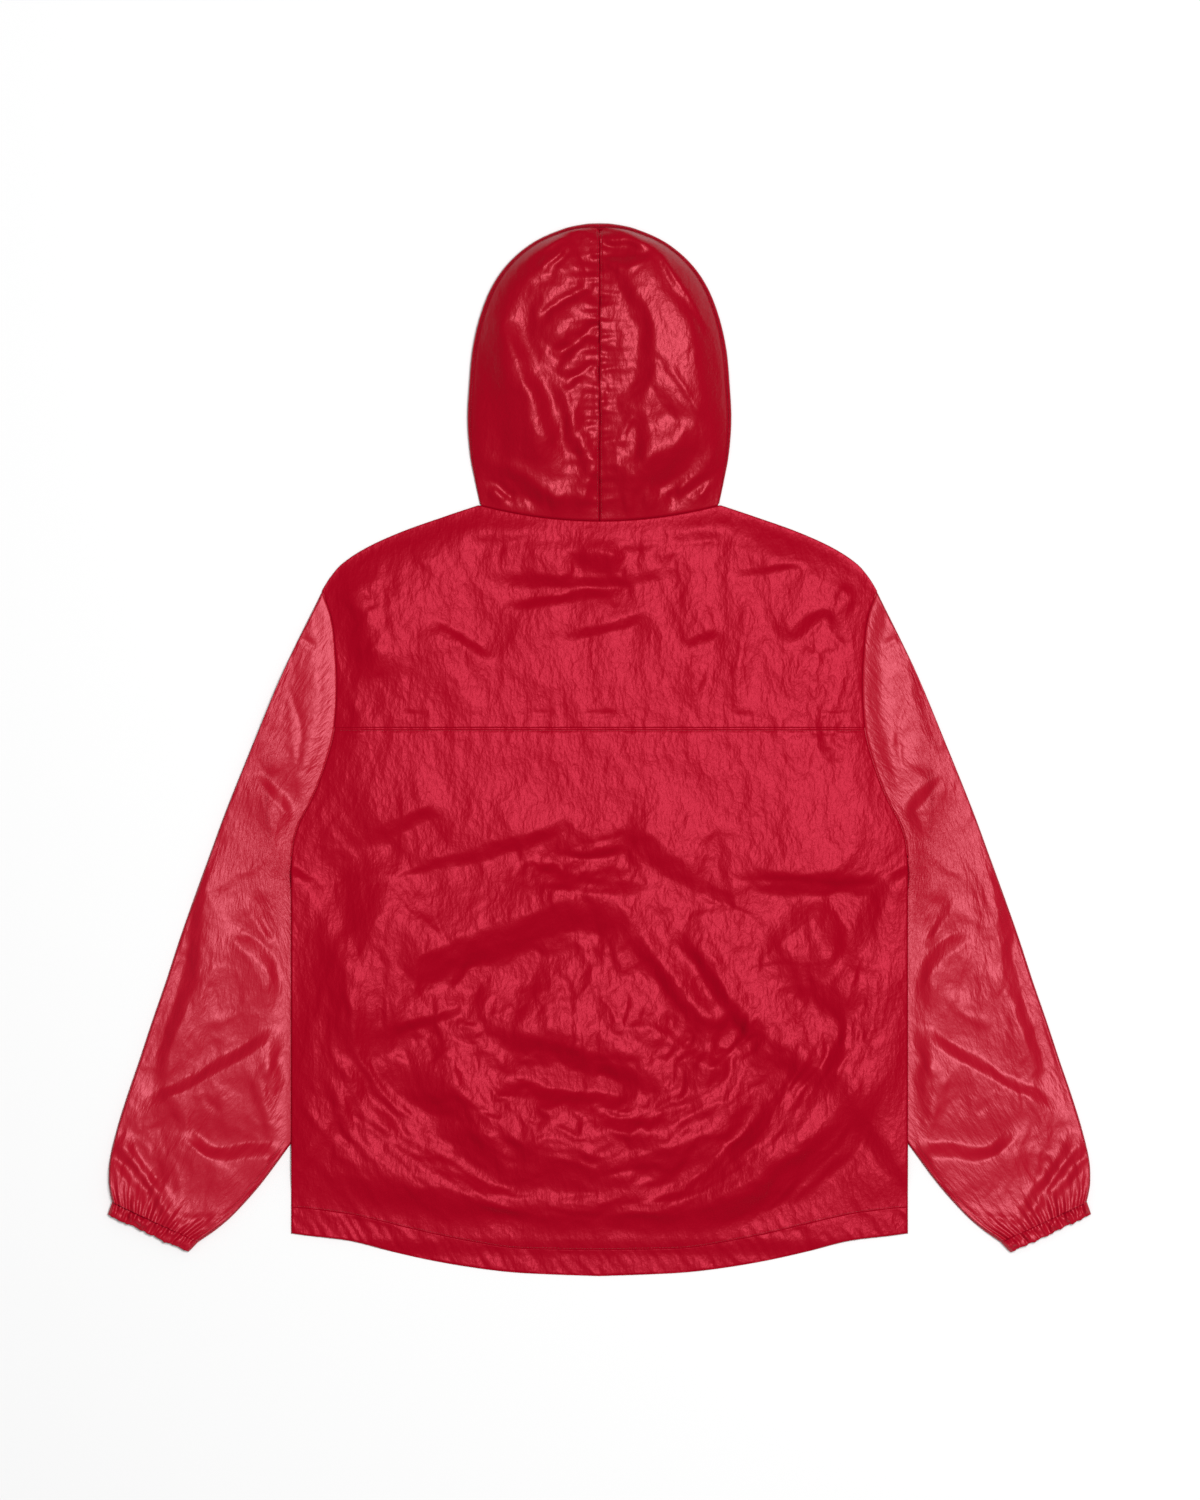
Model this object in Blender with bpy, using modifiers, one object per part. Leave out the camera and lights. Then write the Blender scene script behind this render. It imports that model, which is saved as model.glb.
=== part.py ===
"""A hooded nylon parka laid flat on its front, so that its back faces up.

Units are metres. The garment lies on the plane z = 0. +Y runs from the hem to the hood, and the
wearer's left is at -X. Every cut piece is an open sheet, placed by a rule and thickened evenly to
both sides, so the heights below are those of the middle of the cloth.
"""

import math
from collections import namedtuple

import bmesh
import bpy
from mathutils import Vector

# The cloth
CLOTH = 0.0012           # wall of every cut piece
SEAM = 0.0003            # clearance between two pieces at a seam
LAYER_GAP = 0.0014       # clearance between two layers that lie on each other
PRESSED_GAP = 0.0003     # the same, where the layers meet at a side or shoulder seam
FULLNESS = 0.0015        # how far the back stands off the front, besides the layer gap
LEAST_LIFT = -0.0007     # the deepest that a trough may bring the back towards the front

# The body
NECK_HALF = 0.1205       # middle of the back to the point where the shoulder meets the hood
NECK_Y = 0.2285          # neck seam at the middle of the back
NECK_RISE = 0.0160       # how much higher the seam is where the shoulder meets the hood
NECK_LIFT = 0.0050       # how far the hood lifts the back at the neck seam
NECK_LIFT_REACH = 0.045
SIDE_PRESS_REACH = 0.02  # the side seam is pressed flat from this far below the armpit
SHOULDER_PRESS_X = 0.135 # the shoulder seam is pressed flat from this far out
SEAM_FADE = 0.03         # length in which the back changes from full to pressed flat
HEM_DROP = 0.020         # length in which the back drops past the front's hem
FRONT_NECK_Y = 0.1650    # the neckline at the middle of the front
FRONT_NECK_POWER = 2.2
SHOULDER_HALF = 0.2775   # top of the armhole seam
YOKE_Y = 0.0220          # seam between the yoke and the lower back
ARMPIT_Y = -0.1095
FRONT_HEM_Y = -0.4835    # lower edge of the fronts, which have a straight hem
HEM_DEPTH = 0.026        # of the fronts, and of the back at its sides
ZIP_HALF = 0.0120        # half of the zip's width

# The sleeve, a tube laid flat, which passes under the body below the armpit
SLEEVE_FOLD = 0.0013     # radius of the folded edges
SLEEVE_LIFT = 0.0030     # how far the top layer stands off the bottom one
SLEEVE_SET = 0.0005      # clearance between the armhole seam's line and the sleeve
BODY_OVER_SLEEVE = 2 * SLEEVE_FOLD + CLOTH + 0.0006
CLIMB = 0.030            # length of cloth in which the body climbs on to the sleeve
SECTION_FILL = 0.93      # part of a section over which its points are spread
CLEAR_OF_BODY = 0.017    # beyond the body's edge the sleeve stays flat for this far
LIFT_FADE = 0.030        # and then rises to its full height in this length
CUFF_FADE = 0.050        # it comes down again in this length above the cuff

# The cuff
CUFF_SET = 0.0009        # clearance between the sleeve's gathered end and the cuff
CUFF_FOLD = 0.0030
CUFF_DEPTH = 0.0135
CUFF_DRAW_IN = 0.0045    # how much narrower the cuff is at its mouth
CUFF_WAVE = 0.0010       # half of the height of one gather
WAVE_ROOM = 1.50         # keeps the thickened crest of a gather off the surface below
CUFF_WAVES = 13          # gathers on each of the two layers

# The hood
HOOD_SET = 0.0006        # clearance between the neck seam's line and the hood
HOOD_NECK_POWER = 2.0    # shape of the hood's arch at the neck seam
HOOD_CROWN_POWER = 2.5   # and of the fuller arch over the rest of it

# Counts of faces
NECK_COLUMNS = 7
SHOULDER_COLUMNS = 8
BACK_ROWS = 24
YOKE_ROWS = 7
HEM_ROWS = 2
FRONT_NECK_COLUMNS = 5
FRONT_SIDE_COLUMNS = 8
FOLD_FACES = 4           # faces round a folded edge
CUFF_ROWS = 2

Fabric = namedtuple("Fabric", "name colour roughness")
NYLON = Fabric("shell_nylon", (0.50, 0.008, 0.026, 1.0), 0.38)
ZIP_TAPE = Fabric("zip_tape", (0.30, 0.006, 0.018, 1.0), 0.60)

# Half width of the back and fronts: the side seam up to the armpit, and the armhole above it
SideRow = namedtuple("SideRow", "y half_width")
BODY_SIDE = [
    SideRow(ARMPIT_Y, 0.3083),
    SideRow(-0.0905, 0.3060),
    SideRow(-0.0725, 0.3000),
    SideRow(-0.0515, 0.2890),
    SideRow(-0.0275, 0.2790),
    SideRow(0.0055, 0.2685),
    SideRow(0.0285, 0.2645),
    SideRow(0.0650, 0.2627),
    SideRow(0.0985, 0.2642),
    SideRow(0.1310, 0.2680),
    SideRow(0.1585, 0.2775),
]

ShoulderRow = namedtuple("ShoulderRow", "x y")
SHOULDER = [
    ShoulderRow(NECK_HALF, NECK_Y + NECK_RISE),
    ShoulderRow(0.1535, 0.2335),
    ShoulderRow(0.1985, 0.2175),
    ShoulderRow(0.2335, 0.2015),
    ShoulderRow(0.2575, 0.1855),
    ShoulderRow(0.2695, 0.1715),
    ShoulderRow(SHOULDER_HALF, 0.1585),
]

# The back's hem drops towards the middle
HemRow = namedtuple("HemRow", "x edge_y stitch_y")
BACK_HEM = [
    HemRow(0.0000, -0.5265, -0.5005),
    HemRow(0.0495, -0.5248, -0.4997),
    HemRow(0.0895, -0.5225, -0.4981),
    HemRow(0.1295, -0.5175, -0.4915),
    HemRow(0.1695, -0.5105, -0.4832),
    HemRow(0.2095, -0.5015, -0.4735),
    HemRow(0.2495, -0.4915, -0.4645),
    HemRow(0.2895, -0.4865, -0.4590),
    HemRow(0.3083, -0.4840, -0.4575),
]

# Sections of a sleeve, from the armhole to the cuff: the two folded edges, how far the section
# bows away from the body, and how gathered it is. The first one follows the armhole seam instead.
SleeveRow = namedtuple("SleeveRow", "outer_x outer_y inner_x inner_y bow gather")
SLEEVE = [
    SleeveRow(0.2775, 0.1585, 0.3087, -0.1095, 0.000, 0.0),
    SleeveRow(0.3150, 0.0815, 0.3130, -0.1240, 0.014, 0.0),
    SleeveRow(0.3475, 0.0040, 0.3135, -0.1380, 0.012, 0.0),
    SleeveRow(0.3730, -0.0590, 0.3110, -0.1500, 0.008, 0.0),
    SleeveRow(0.3900, -0.1050, 0.3000, -0.1650, 0.004, 0.0),
    SleeveRow(0.4060, -0.1490, 0.2850, -0.1870, 0.000, 0.0),
    SleeveRow(0.4205, -0.1905, 0.2700, -0.2200, 0.000, 0.0),
    SleeveRow(0.4340, -0.2320, 0.2605, -0.2630, 0.000, 0.0),
    SleeveRow(0.4475, -0.2710, 0.2640, -0.3080, 0.000, 0.0),
    SleeveRow(0.4605, -0.3105, 0.2810, -0.3560, 0.000, 0.0),
    SleeveRow(0.4720, -0.3440, 0.3095, -0.3965, 0.000, 0.0),
    SleeveRow(0.4820, -0.3760, 0.3385, -0.4355, 0.000, 0.0),
    SleeveRow(0.4898, -0.4080, 0.3640, -0.4640, 0.000, 0.1),
    SleeveRow(0.4912, -0.4300, 0.3810, -0.4790, 0.000, 0.4),
    SleeveRow(0.4895, -0.4430, 0.3930, -0.4875, 0.000, 0.8),
    SleeveRow(0.4875, -0.4515, 0.4005, -0.4925, 0.000, 1.0),
]

# Where the body has climbed on to the sleeve that passes under it
CoverRow = namedtuple("CoverRow", "y x")
SLEEVE_COVER = [
    CoverRow(-0.4700, 0.3600),
    CoverRow(-0.4355, 0.3250),
    CoverRow(-0.3965, 0.2935),
    CoverRow(-0.3580, 0.2660),
    CoverRow(-0.3150, 0.2520),
    CoverRow(-0.2750, 0.2470),
    CoverRow(-0.2350, 0.2530),
    CoverRow(-0.1950, 0.2710),
    CoverRow(-0.1500, 0.2900),
    CoverRow(-0.1300, 0.3060),
    CoverRow(-0.1100, 0.3450),
    CoverRow(-0.0900, 0.4000),
]

# Ribs of the hood, from the neck to the crown. Each runs from the seam over the head, out to the
# folded side, and back on the underside to the edge of the face opening.
HoodRow = namedtuple("HoodRow", "side_x side_y seam_y face_x face_y fold peak")
HOOD = [
    HoodRow(0.1202, 0.2462, 0.2288, 0.0125, 0.1652, 0.0013, 0.0082),
    HoodRow(0.1252, 0.2695, 0.2620, 0.0240, 0.2150, 0.0030, 0.0140),
    HoodRow(0.1300, 0.2955, 0.2950, 0.0340, 0.2650, 0.0045, 0.0200),
    HoodRow(0.1325, 0.3295, 0.3300, 0.0420, 0.3100, 0.0060, 0.0250),
    HoodRow(0.1308, 0.3650, 0.3620, 0.0450, 0.3500, 0.0060, 0.0290),
    HoodRow(0.1275, 0.4000, 0.3940, 0.0420, 0.3850, 0.0060, 0.0310),
    HoodRow(0.1200, 0.4330, 0.4250, 0.0330, 0.4150, 0.0060, 0.0310),
    HoodRow(0.1080, 0.4630, 0.4530, 0.0180, 0.4380, 0.0060, 0.0290),
    HoodRow(0.0905, 0.4875, 0.4770, SEAM, 0.4520, 0.0060, 0.0260),
    HoodRow(0.0660, 0.5075, 0.4960, SEAM, 0.4780, 0.0060, 0.0220),
    HoodRow(0.0370, 0.5205, 0.5090, SEAM, 0.4980, 0.0060, 0.0180),
    HoodRow(0.0150, 0.5255, 0.5150, SEAM, 0.5080, 0.0060, 0.0155),
    HoodRow(0.0004, 0.5265, 0.5175, SEAM, 0.5120, 0.0060, 0.0150),
]

# The largest folds: troughs have a height below zero, and ridges one above it
FOLD_FADE = 0.25         # part of a fold's length in which it fades out at each end
FOLD_END = 0.15          # how far along that fade its very end is
Fold = namedtuple("Fold", "height half_width path")
BACK_FOLDS = [
    Fold(-0.0018, 0.016, [(-0.300, -0.136), (-0.198, -0.126), (-0.136, -0.112), (-0.010, -0.065)]),
    Fold(-0.0018, 0.016, [(0.010, -0.068), (0.048, -0.093), (0.110, -0.137), (0.300, -0.137)]),
    Fold(0.0030, 0.024, [(-0.255, -0.090), (-0.150, -0.075), (-0.040, -0.035)]),
    Fold(0.0026, 0.024, [(0.060, -0.070), (0.130, -0.100), (0.260, -0.100)]),
    Fold(0.0036, 0.022, [(-0.190, -0.180), (-0.110, -0.140), (-0.020, -0.118), (0.060, -0.150),
                         (0.100, -0.205)]),
    Fold(-0.0020, 0.017, [(-0.185, -0.215), (-0.110, -0.173), (-0.030, -0.158), (0.045, -0.197),
                          (0.075, -0.235)]),
    Fold(0.0030, 0.024, [(-0.175, -0.240), (-0.090, -0.255), (0.010, -0.285), (0.100, -0.330)]),
    Fold(-0.0020, 0.017, [(-0.145, -0.270), (-0.034, -0.306), (0.048, -0.347), (0.100, -0.366)]),
    Fold(0.0034, 0.022, [(-0.190, -0.330), (-0.110, -0.350), (-0.040, -0.375), (0.060, -0.380)]),
    Fold(-0.0020, 0.017, [(-0.198, -0.364), (-0.108, -0.392), (-0.050, -0.413), (0.073, -0.405)]),
    Fold(0.0036, 0.020, [(0.050, -0.452), (0.095, -0.420), (0.135, -0.370), (0.165, -0.315)]),
    Fold(-0.0018, 0.016, [(0.100, -0.446), (0.150, -0.412), (0.195, -0.375)]),
    Fold(0.0026, 0.020, [(0.150, -0.425), (0.200, -0.392), (0.235, -0.350)]),
    Fold(0.0024, 0.024, [(-0.240, -0.330), (-0.190, -0.400), (-0.110, -0.440)]),
    Fold(-0.0020, 0.017, [(-0.220, 0.203), (-0.140, 0.219), (-0.050, 0.212), (0.060, 0.216),
                          (0.200, 0.206)]),
    Fold(0.0026, 0.020, [(-0.120, 0.190), (-0.060, 0.188), (0.060, 0.192), (0.130, 0.186)]),
    Fold(-0.0018, 0.015, [(-0.092, 0.168), (-0.020, 0.176), (0.050, 0.172), (0.100, 0.181)]),
    Fold(0.0024, 0.020, [(-0.090, 0.142), (-0.010, 0.135), (0.060, 0.150)]),
    Fold(0.0022, 0.022, [(0.150, 0.150), (0.158, 0.095), (0.150, 0.040)]),
    Fold(0.0022, 0.022, [(-0.205, 0.150), (-0.190, 0.090), (-0.205, 0.040)]),
]
SLEEVE_FOLDS = [
    Fold(0.0034, 0.020, [(0.318, 0.050), (0.330, -0.010), (0.338, -0.060)]),
    Fold(0.0030, 0.022, [(0.360, -0.090), (0.385, -0.160), (0.395, -0.230)]),
    Fold(0.0036, 0.020, [(0.345, -0.275), (0.400, -0.300), (0.455, -0.335)]),
    Fold(0.0040, 0.018, [(0.340, -0.345), (0.385, -0.362), (0.440, -0.385)]),
    Fold(0.0034, 0.014, [(0.365, -0.425), (0.395, -0.432), (0.430, -0.455)]),
]
HOOD_FOLDS = [
    Fold(0.0040, 0.016, [(0.118, 0.300), (0.085, 0.268), (0.030, 0.252)]),
    Fold(-0.0030, 0.013, [(0.125, 0.275), (0.085, 0.248), (0.030, 0.240)]),
    Fold(0.0040, 0.018, [(0.085, 0.450), (0.100, 0.390), (0.085, 0.310)]),
    Fold(-0.0030, 0.014, [(0.060, 0.440), (0.070, 0.380), (0.050, 0.310)]),
    Fold(0.0030, 0.014, [(0.035, 0.470), (0.040, 0.400), (0.022, 0.330)]),
]


def smooth_step(value):
    """Rises from 0 to 1 with level ends as the value goes from 0 to 1."""
    value = min(max(value, 0.0), 1.0)
    return value * value * (3 - 2 * value)


def read_row(rows, at, column):
    """Reads a column on a smooth curve through the rows, at a place in their first column."""
    places = [row[0] for row in rows]
    values = [getattr(row, column) for row in rows]
    last = len(rows) - 1
    at = min(max(at, places[0]), places[last])
    low = 0
    while low < last - 1 and at > places[low + 1]:
        low += 1

    def slope(index):
        before = max(index - 1, 0)
        after = min(index + 1, last)
        return (values[after] - values[before]) / (places[after] - places[before])

    width = places[low + 1] - places[low]
    part = (at - places[low]) / width
    rising = smooth_step(part)
    start_pull = part * (1 - part) ** 2 * width * slope(low)
    end_pull = part ** 2 * (part - 1) * width * slope(low + 1)
    return values[low] * (1 - rising) + values[low + 1] * rising + start_pull + end_pull


def place_on_path(path, x, y):
    """Gives a point's distance from a path of straight runs, and how far along it is, 0 to 1."""
    lengths = [math.dist(start, end) for start, end in zip(path, path[1:])]
    best_distance = math.inf
    best_along = 0.0
    passed = 0.0
    for (start_x, start_y), (end_x, end_y), length in zip(path, path[1:], lengths):
        run_x = (end_x - start_x) / length
        run_y = (end_y - start_y) / length
        part = (x - start_x) * run_x + (y - start_y) * run_y
        part = min(max(part, 0.0), length)
        distance = math.hypot(x - start_x - run_x * part, y - start_y - run_y * part)
        if distance < best_distance:
            best_distance = distance
            best_along = passed + part
        passed += length
    return best_distance, best_along / passed


def fold_height(folds, x, y):
    """Adds up the folds at a point, each fading towards its two ends."""
    total = 0.0
    for fold in folds:
        distance, along = place_on_path(fold.path, x, y)
        fade = smooth_step(min(along, 1 - along) / FOLD_FADE + FOLD_END)
        total += fold.height * fade * math.exp(-(distance / fold.half_width) ** 2)
    return total


def half_width(y):
    """Half width of the body at a height, at its side seam or armhole seam."""
    return read_row(BODY_SIDE, y, "half_width")


def back_top(x):
    """The back's upper edge: the neck seam, then the shoulder line."""
    x = abs(x)
    if x < NECK_HALF:
        return NECK_Y + NECK_RISE * (x / NECK_HALF) ** 2
    return read_row(SHOULDER, x, "y")


def front_top(x):
    """The fronts' upper edge: the neckline, then the shoulder line."""
    x = abs(x)
    if x < NECK_HALF:
        drop = back_top(NECK_HALF) - FRONT_NECK_Y
        return FRONT_NECK_Y + drop * (x / NECK_HALF) ** FRONT_NECK_POWER
    return read_row(SHOULDER, x, "y")


def front_height(x, y):
    """The fronts lie on the surface, and climb on to the sleeve that passes under them."""
    cover = read_row(SLEEVE_COVER, y, "x")
    climb = smooth_step((abs(x) - cover + CLIMB) / CLIMB)
    return CLOTH / 2 + BODY_OVER_SLEEVE * climb


def back_height(x, y):
    """The back lies on the fronts, pressed flat at its side and shoulder seams."""
    edge_part = abs(x) / half_width(y)
    from_top = back_top(x) - y
    from_hem = y - read_row(BACK_HEM, abs(x), "stitch_y")
    by_side = smooth_step((edge_part - 0.93) / 0.07)
    by_side *= smooth_step((ARMPIT_Y - SIDE_PRESS_REACH - y) / SEAM_FADE)
    by_shoulder = smooth_step(1 - from_top / 0.02)
    by_shoulder *= smooth_step((abs(x) - SHOULDER_PRESS_X) / SEAM_FADE)
    gap = LAYER_GAP + (PRESSED_GAP - LAYER_GAP) * max(by_side, by_shoulder)
    inside = (1 - min(edge_part, 1.0) ** 6) * smooth_step(from_top / 0.05)
    inside *= smooth_step(from_hem / 0.04)
    lift = inside * (FULLNESS + fold_height(BACK_FOLDS, x, y))
    at_neck = max(0.0, 1 - (x / NECK_HALF) ** 2)
    lift += NECK_LIFT * at_neck * math.exp(-(from_top / NECK_LIFT_REACH) ** 2)
    on_front = front_height(x, y) + CLOTH + gap + max(lift, LEAST_LIFT)
    past_front = smooth_step((FRONT_HEM_Y - 0.004 - y) / HEM_DROP)
    return on_front + (CLOTH / 2 - on_front) * past_front


def evenly(start, end, count):
    """Evenly spaced values from start to end, both included."""
    return [start + (end - start) * step / count for step in range(count + 1)]


def back_columns():
    """Places across the back, as parts of its half width, with a column at each neck corner."""
    corner = NECK_HALF / SHOULDER_HALF
    right = evenly(0, corner, NECK_COLUMNS) + evenly(corner, 1, SHOULDER_COLUMNS)[1:]
    return [-part for part in reversed(right[1:])] + right


def front_columns():
    """Places across a front, from the zip to the side, with a column at the neck corner."""
    corner = (NECK_HALF - ZIP_HALF) / (SHOULDER_HALF - ZIP_HALF)
    return evenly(0, corner, FRONT_NECK_COLUMNS) + evenly(corner, 1, FRONT_SIDE_COLUMNS)[1:]


def fabric_material(fabric):
    material = bpy.data.materials.get(fabric.name)
    if material is None:
        material = bpy.data.materials.new(fabric.name)
    material.use_nodes = True
    shader = material.node_tree.nodes["Principled BSDF"]
    shader.inputs["Base Color"].default_value = fabric.colour
    shader.inputs["Roughness"].default_value = fabric.roughness
    material.diffuse_color = fabric.colour
    return material


def make_piece(name, collection, columns, rows, place, side=1, is_tube=False, fabric=NYLON):
    """Makes one cut piece: a sheet of faces placed by a rule, then given the cloth's wall.

    The rule places a piece of the right side, and side -1 makes the left one from it.
    """
    grid = bmesh.new()
    bmesh.ops.create_grid(grid, x_segments=columns, y_segments=rows, size=1.0)
    for vertex in grid.verts:
        column = round((vertex.co.x + 1) / 2 * columns)
        row = round((vertex.co.y + 1) / 2 * rows)
        point = place(column if side > 0 else columns - column, row)
        vertex.co = Vector((side * point.x, point.y, point.z))
    if is_tube:
        bmesh.ops.remove_doubles(grid, verts=grid.verts, dist=0.000001)
    mesh = bpy.data.meshes.new(name)
    grid.to_mesh(mesh)
    grid.free()
    mesh.shade_smooth()
    mesh.materials.append(fabric_material(fabric))
    piece = bpy.data.objects.new(name, mesh)
    collection.objects.link(piece)
    wall = piece.modifiers.new("wall", "SOLIDIFY")
    wall.thickness = CLOTH
    wall.offset = 0.0
    wall.use_even_offset = True
    wall.use_quality_normals = True
    return piece


def make_back_yoke(collection):
    columns = back_columns()

    def place(column, row):
        part = columns[column]
        top_x = part * (SHOULDER_HALF - SEAM / 2)
        top_y = back_top(top_x) - SEAM / 2
        low_y = YOKE_Y + SEAM / 2
        y = low_y + (top_y - low_y) * row / YOKE_ROWS
        x = part * (half_width(y) - SEAM / 2)
        return Vector((x, y, back_height(x, y)))

    make_piece("back_yoke", collection, len(columns) - 1, YOKE_ROWS, place)


def make_back_lower(collection):
    columns = back_columns()

    def place(column, row):
        part = columns[column]
        low_x = abs(part) * (half_width(ARMPIT_Y) - SEAM / 2)
        low_y = read_row(BACK_HEM, low_x, "stitch_y") + SEAM / 2
        top_y = YOKE_Y - SEAM / 2
        y = low_y + (top_y - low_y) * row / BACK_ROWS
        x = part * (half_width(y) - SEAM / 2)
        return Vector((x, y, back_height(x, y)))

    make_piece("back_lower", collection, len(columns) - 1, BACK_ROWS, place)


def make_hem_back(collection):
    columns = back_columns()

    def place(column, row):
        x = columns[column] * (half_width(ARMPIT_Y) - SEAM / 2)
        low_y = read_row(BACK_HEM, abs(x), "edge_y")
        top_y = read_row(BACK_HEM, abs(x), "stitch_y") - SEAM / 2
        y = low_y + (top_y - low_y) * row / HEM_ROWS
        return Vector((x, y, back_height(x, y)))

    make_piece("hem_back", collection, len(columns) - 1, HEM_ROWS, place)


def front_rows(top_y):
    """Heights of a front's rows, which are those of the lower back's side and the yoke's side."""
    low_y = FRONT_HEM_Y + HEM_DEPTH + SEAM / 2
    low_rows = evenly(low_y, YOKE_Y - SEAM / 2, BACK_ROWS)
    return low_rows + evenly(YOKE_Y, top_y, YOKE_ROWS)[1:]


def make_front(side_name, side, collection):
    columns = front_columns()
    inner_x = ZIP_HALF + SEAM
    row_count = BACK_ROWS + YOKE_ROWS

    def place(column, row):
        part = columns[column]
        top_x = inner_x + part * (SHOULDER_HALF - SEAM / 2 - inner_x)
        y = front_rows(front_top(top_x) - SEAM / 2)[row]
        x = inner_x + part * (half_width(y) - SEAM / 2 - inner_x)
        return Vector((x, y, front_height(x, y)))

    make_piece("front_" + side_name, collection, len(columns) - 1, row_count, place, side)


def make_hem_front(side_name, side, collection):
    columns = front_columns()
    inner_x = ZIP_HALF + SEAM

    def place(column, row):
        x = inner_x + columns[column] * (half_width(ARMPIT_Y) - SEAM / 2 - inner_x)
        y = FRONT_HEM_Y + (HEM_DEPTH - SEAM / 2) * row
        return Vector((x, y, CLOTH / 2))

    make_piece("hem_front_" + side_name, collection, len(columns) - 1, 1, place, side)


def make_front_zip(collection):
    top_y = FRONT_NECK_Y - SEAM / 2

    def place(column, row):
        x = ZIP_HALF * (column - 1)
        y = FRONT_HEM_Y + (top_y - FRONT_HEM_Y) * row
        return Vector((x, y, CLOTH / 2))

    make_piece("front_zip", collection, 2, 1, place, fabric=ZIP_TAPE)


def armhole_bow(part):
    """How far the armhole seam lies from the straight line between its ends, part way down."""
    top = SLEEVE[0].outer_y
    low = SLEEVE[0].inner_y
    y = top + (low - top) * part
    straight_x = SLEEVE[0].outer_x + (SLEEVE[0].inner_x - SLEEVE[0].outer_x) * part
    return half_width(y) - straight_x


def armhole_parts():
    """Places along the armhole seam, from the shoulder, at which the body has its rows."""
    top = SLEEVE[0].outer_y
    low = SLEEVE[0].inner_y
    yoke_rows = evenly(top, YOKE_Y, YOKE_ROWS)[1:]
    lower_rows = evenly(YOKE_Y - SEAM / 2, FRONT_HEM_Y + HEM_DEPTH + SEAM / 2, BACK_ROWS)[1:]
    heights = yoke_rows + [y for y in lower_rows if y > ARMPIT_Y]
    return [(top - y) / (top - low) for y in heights]


def flat_ring(outer, inner, fold, wave, parts, bow=None, lift=None, inner_way=None):
    """Points round a tube laid flat: out on its lower layer, and back on its upper one.

    The outer and inner points are the tips of the two folded edges, and the parts are places
    between them. The bow shifts a point of a layer sideways, and the lift raises a point of the
    upper layer. The inner way is the direction in which the inner edge is folded, if that isn't
    the direction of the section.
    """
    width = math.dist(outer, inner)
    run = Vector(((inner[0] - outer[0]) / width, (inner[1] - outer[1]) / width))
    inner_way = inner_way or -run
    corner_reach = CLOTH / 2 + fold
    side_faces = len(parts) + 1
    middle_z = CLOTH / 2 + WAVE_ROOM * wave + fold

    def layer_point(step, is_upper):
        if step == 0:
            x, y = Vector(outer) + run * corner_reach
        elif step == side_faces:
            x, y = Vector(inner) + inner_way * corner_reach
        else:
            x, y = Vector(outer) + run * (parts[step - 1] * width)
        if bow:
            x += bow(math.dist(outer, (x, y)) / width)
        ripple = wave * (-1) ** step
        if not is_upper:
            return Vector((x, y, middle_z - fold + ripple))
        raised = lift(x, y) if lift else 0.0
        return Vector((x, y, middle_z + fold + ripple + raised))

    def fold_point(tip, inward, turn):
        reach = CLOTH / 2 + fold * (1 - math.sin(turn))
        x, y = Vector(tip) + inward * reach
        if bow:
            x += bow(math.dist(outer, (x, y)) / width)
        return Vector((x, y, middle_z - fold * math.cos(turn)))

    turns = evenly(0, math.pi, FOLD_FACES)[1:-1]
    lower = [layer_point(step, False) for step in range(side_faces + 1)]
    inner_fold = [fold_point(inner, inner_way, turn) for turn in turns]
    upper = [layer_point(step, True) for step in reversed(range(side_faces + 1))]
    outer_fold = [fold_point(outer, run, turn) for turn in reversed(turns)]
    return lower + inner_fold + upper + outer_fold


def sleeve_lift(x, y):
    """How far the sleeve's top layer rises, which is nothing under or beside the body."""
    body_edge = half_width(y) if y > ARMPIT_Y else half_width(ARMPIT_Y)
    off_body = smooth_step((x - body_edge - CLEAR_OF_BODY) / LIFT_FADE)
    off_cuff = smooth_step((y - SLEEVE[-1].inner_y) / CUFF_FADE)
    return off_body * off_cuff * (SLEEVE_LIFT + fold_height(SLEEVE_FOLDS, x, y))


def sleeve_ring(index):
    """Points round one section of the sleeve."""
    row = SLEEVE[index]
    outer = Vector((row.outer_x, row.outer_y))
    inner = Vector((row.inner_x, row.inner_y))
    fold = SLEEVE_FOLD + (CUFF_FOLD - SLEEVE_FOLD) * row.gather
    wave = CUFF_WAVE * row.gather
    if index == 0:
        def bow(part):
            return armhole_bow(part) + SLEEVE_SET
        return flat_ring(outer, inner, fold, wave, armhole_parts(), bow)

    def bow(part):
        return row.bow * math.sin(math.pi * min(part, 1.0) ** 2)

    parts = [part * SECTION_FILL for part in armhole_parts()]
    across = (outer - inner).normalized()
    if index == len(SLEEVE) - 1:
        return flat_ring(outer, inner, fold, wave, parts, bow, sleeve_lift)
    before = SLEEVE[index - 1]
    after = SLEEVE[index + 1]
    along = Vector((after.inner_x - before.inner_x, after.inner_y - before.inner_y)).normalized()
    square_way = Vector((-along.y, along.x))
    inner_way = (square_way + across).normalized()
    return flat_ring(outer, inner, fold, wave, parts, bow, sleeve_lift, inner_way)


def make_sleeve(side_name, side, collection):
    rings = [sleeve_ring(index) for index in range(len(SLEEVE))]

    def place(column, row):
        return rings[row][column % len(rings[row])]

    make_piece("sleeve_" + side_name, collection, len(rings[0]), len(rings) - 1, place, side, True)


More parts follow.
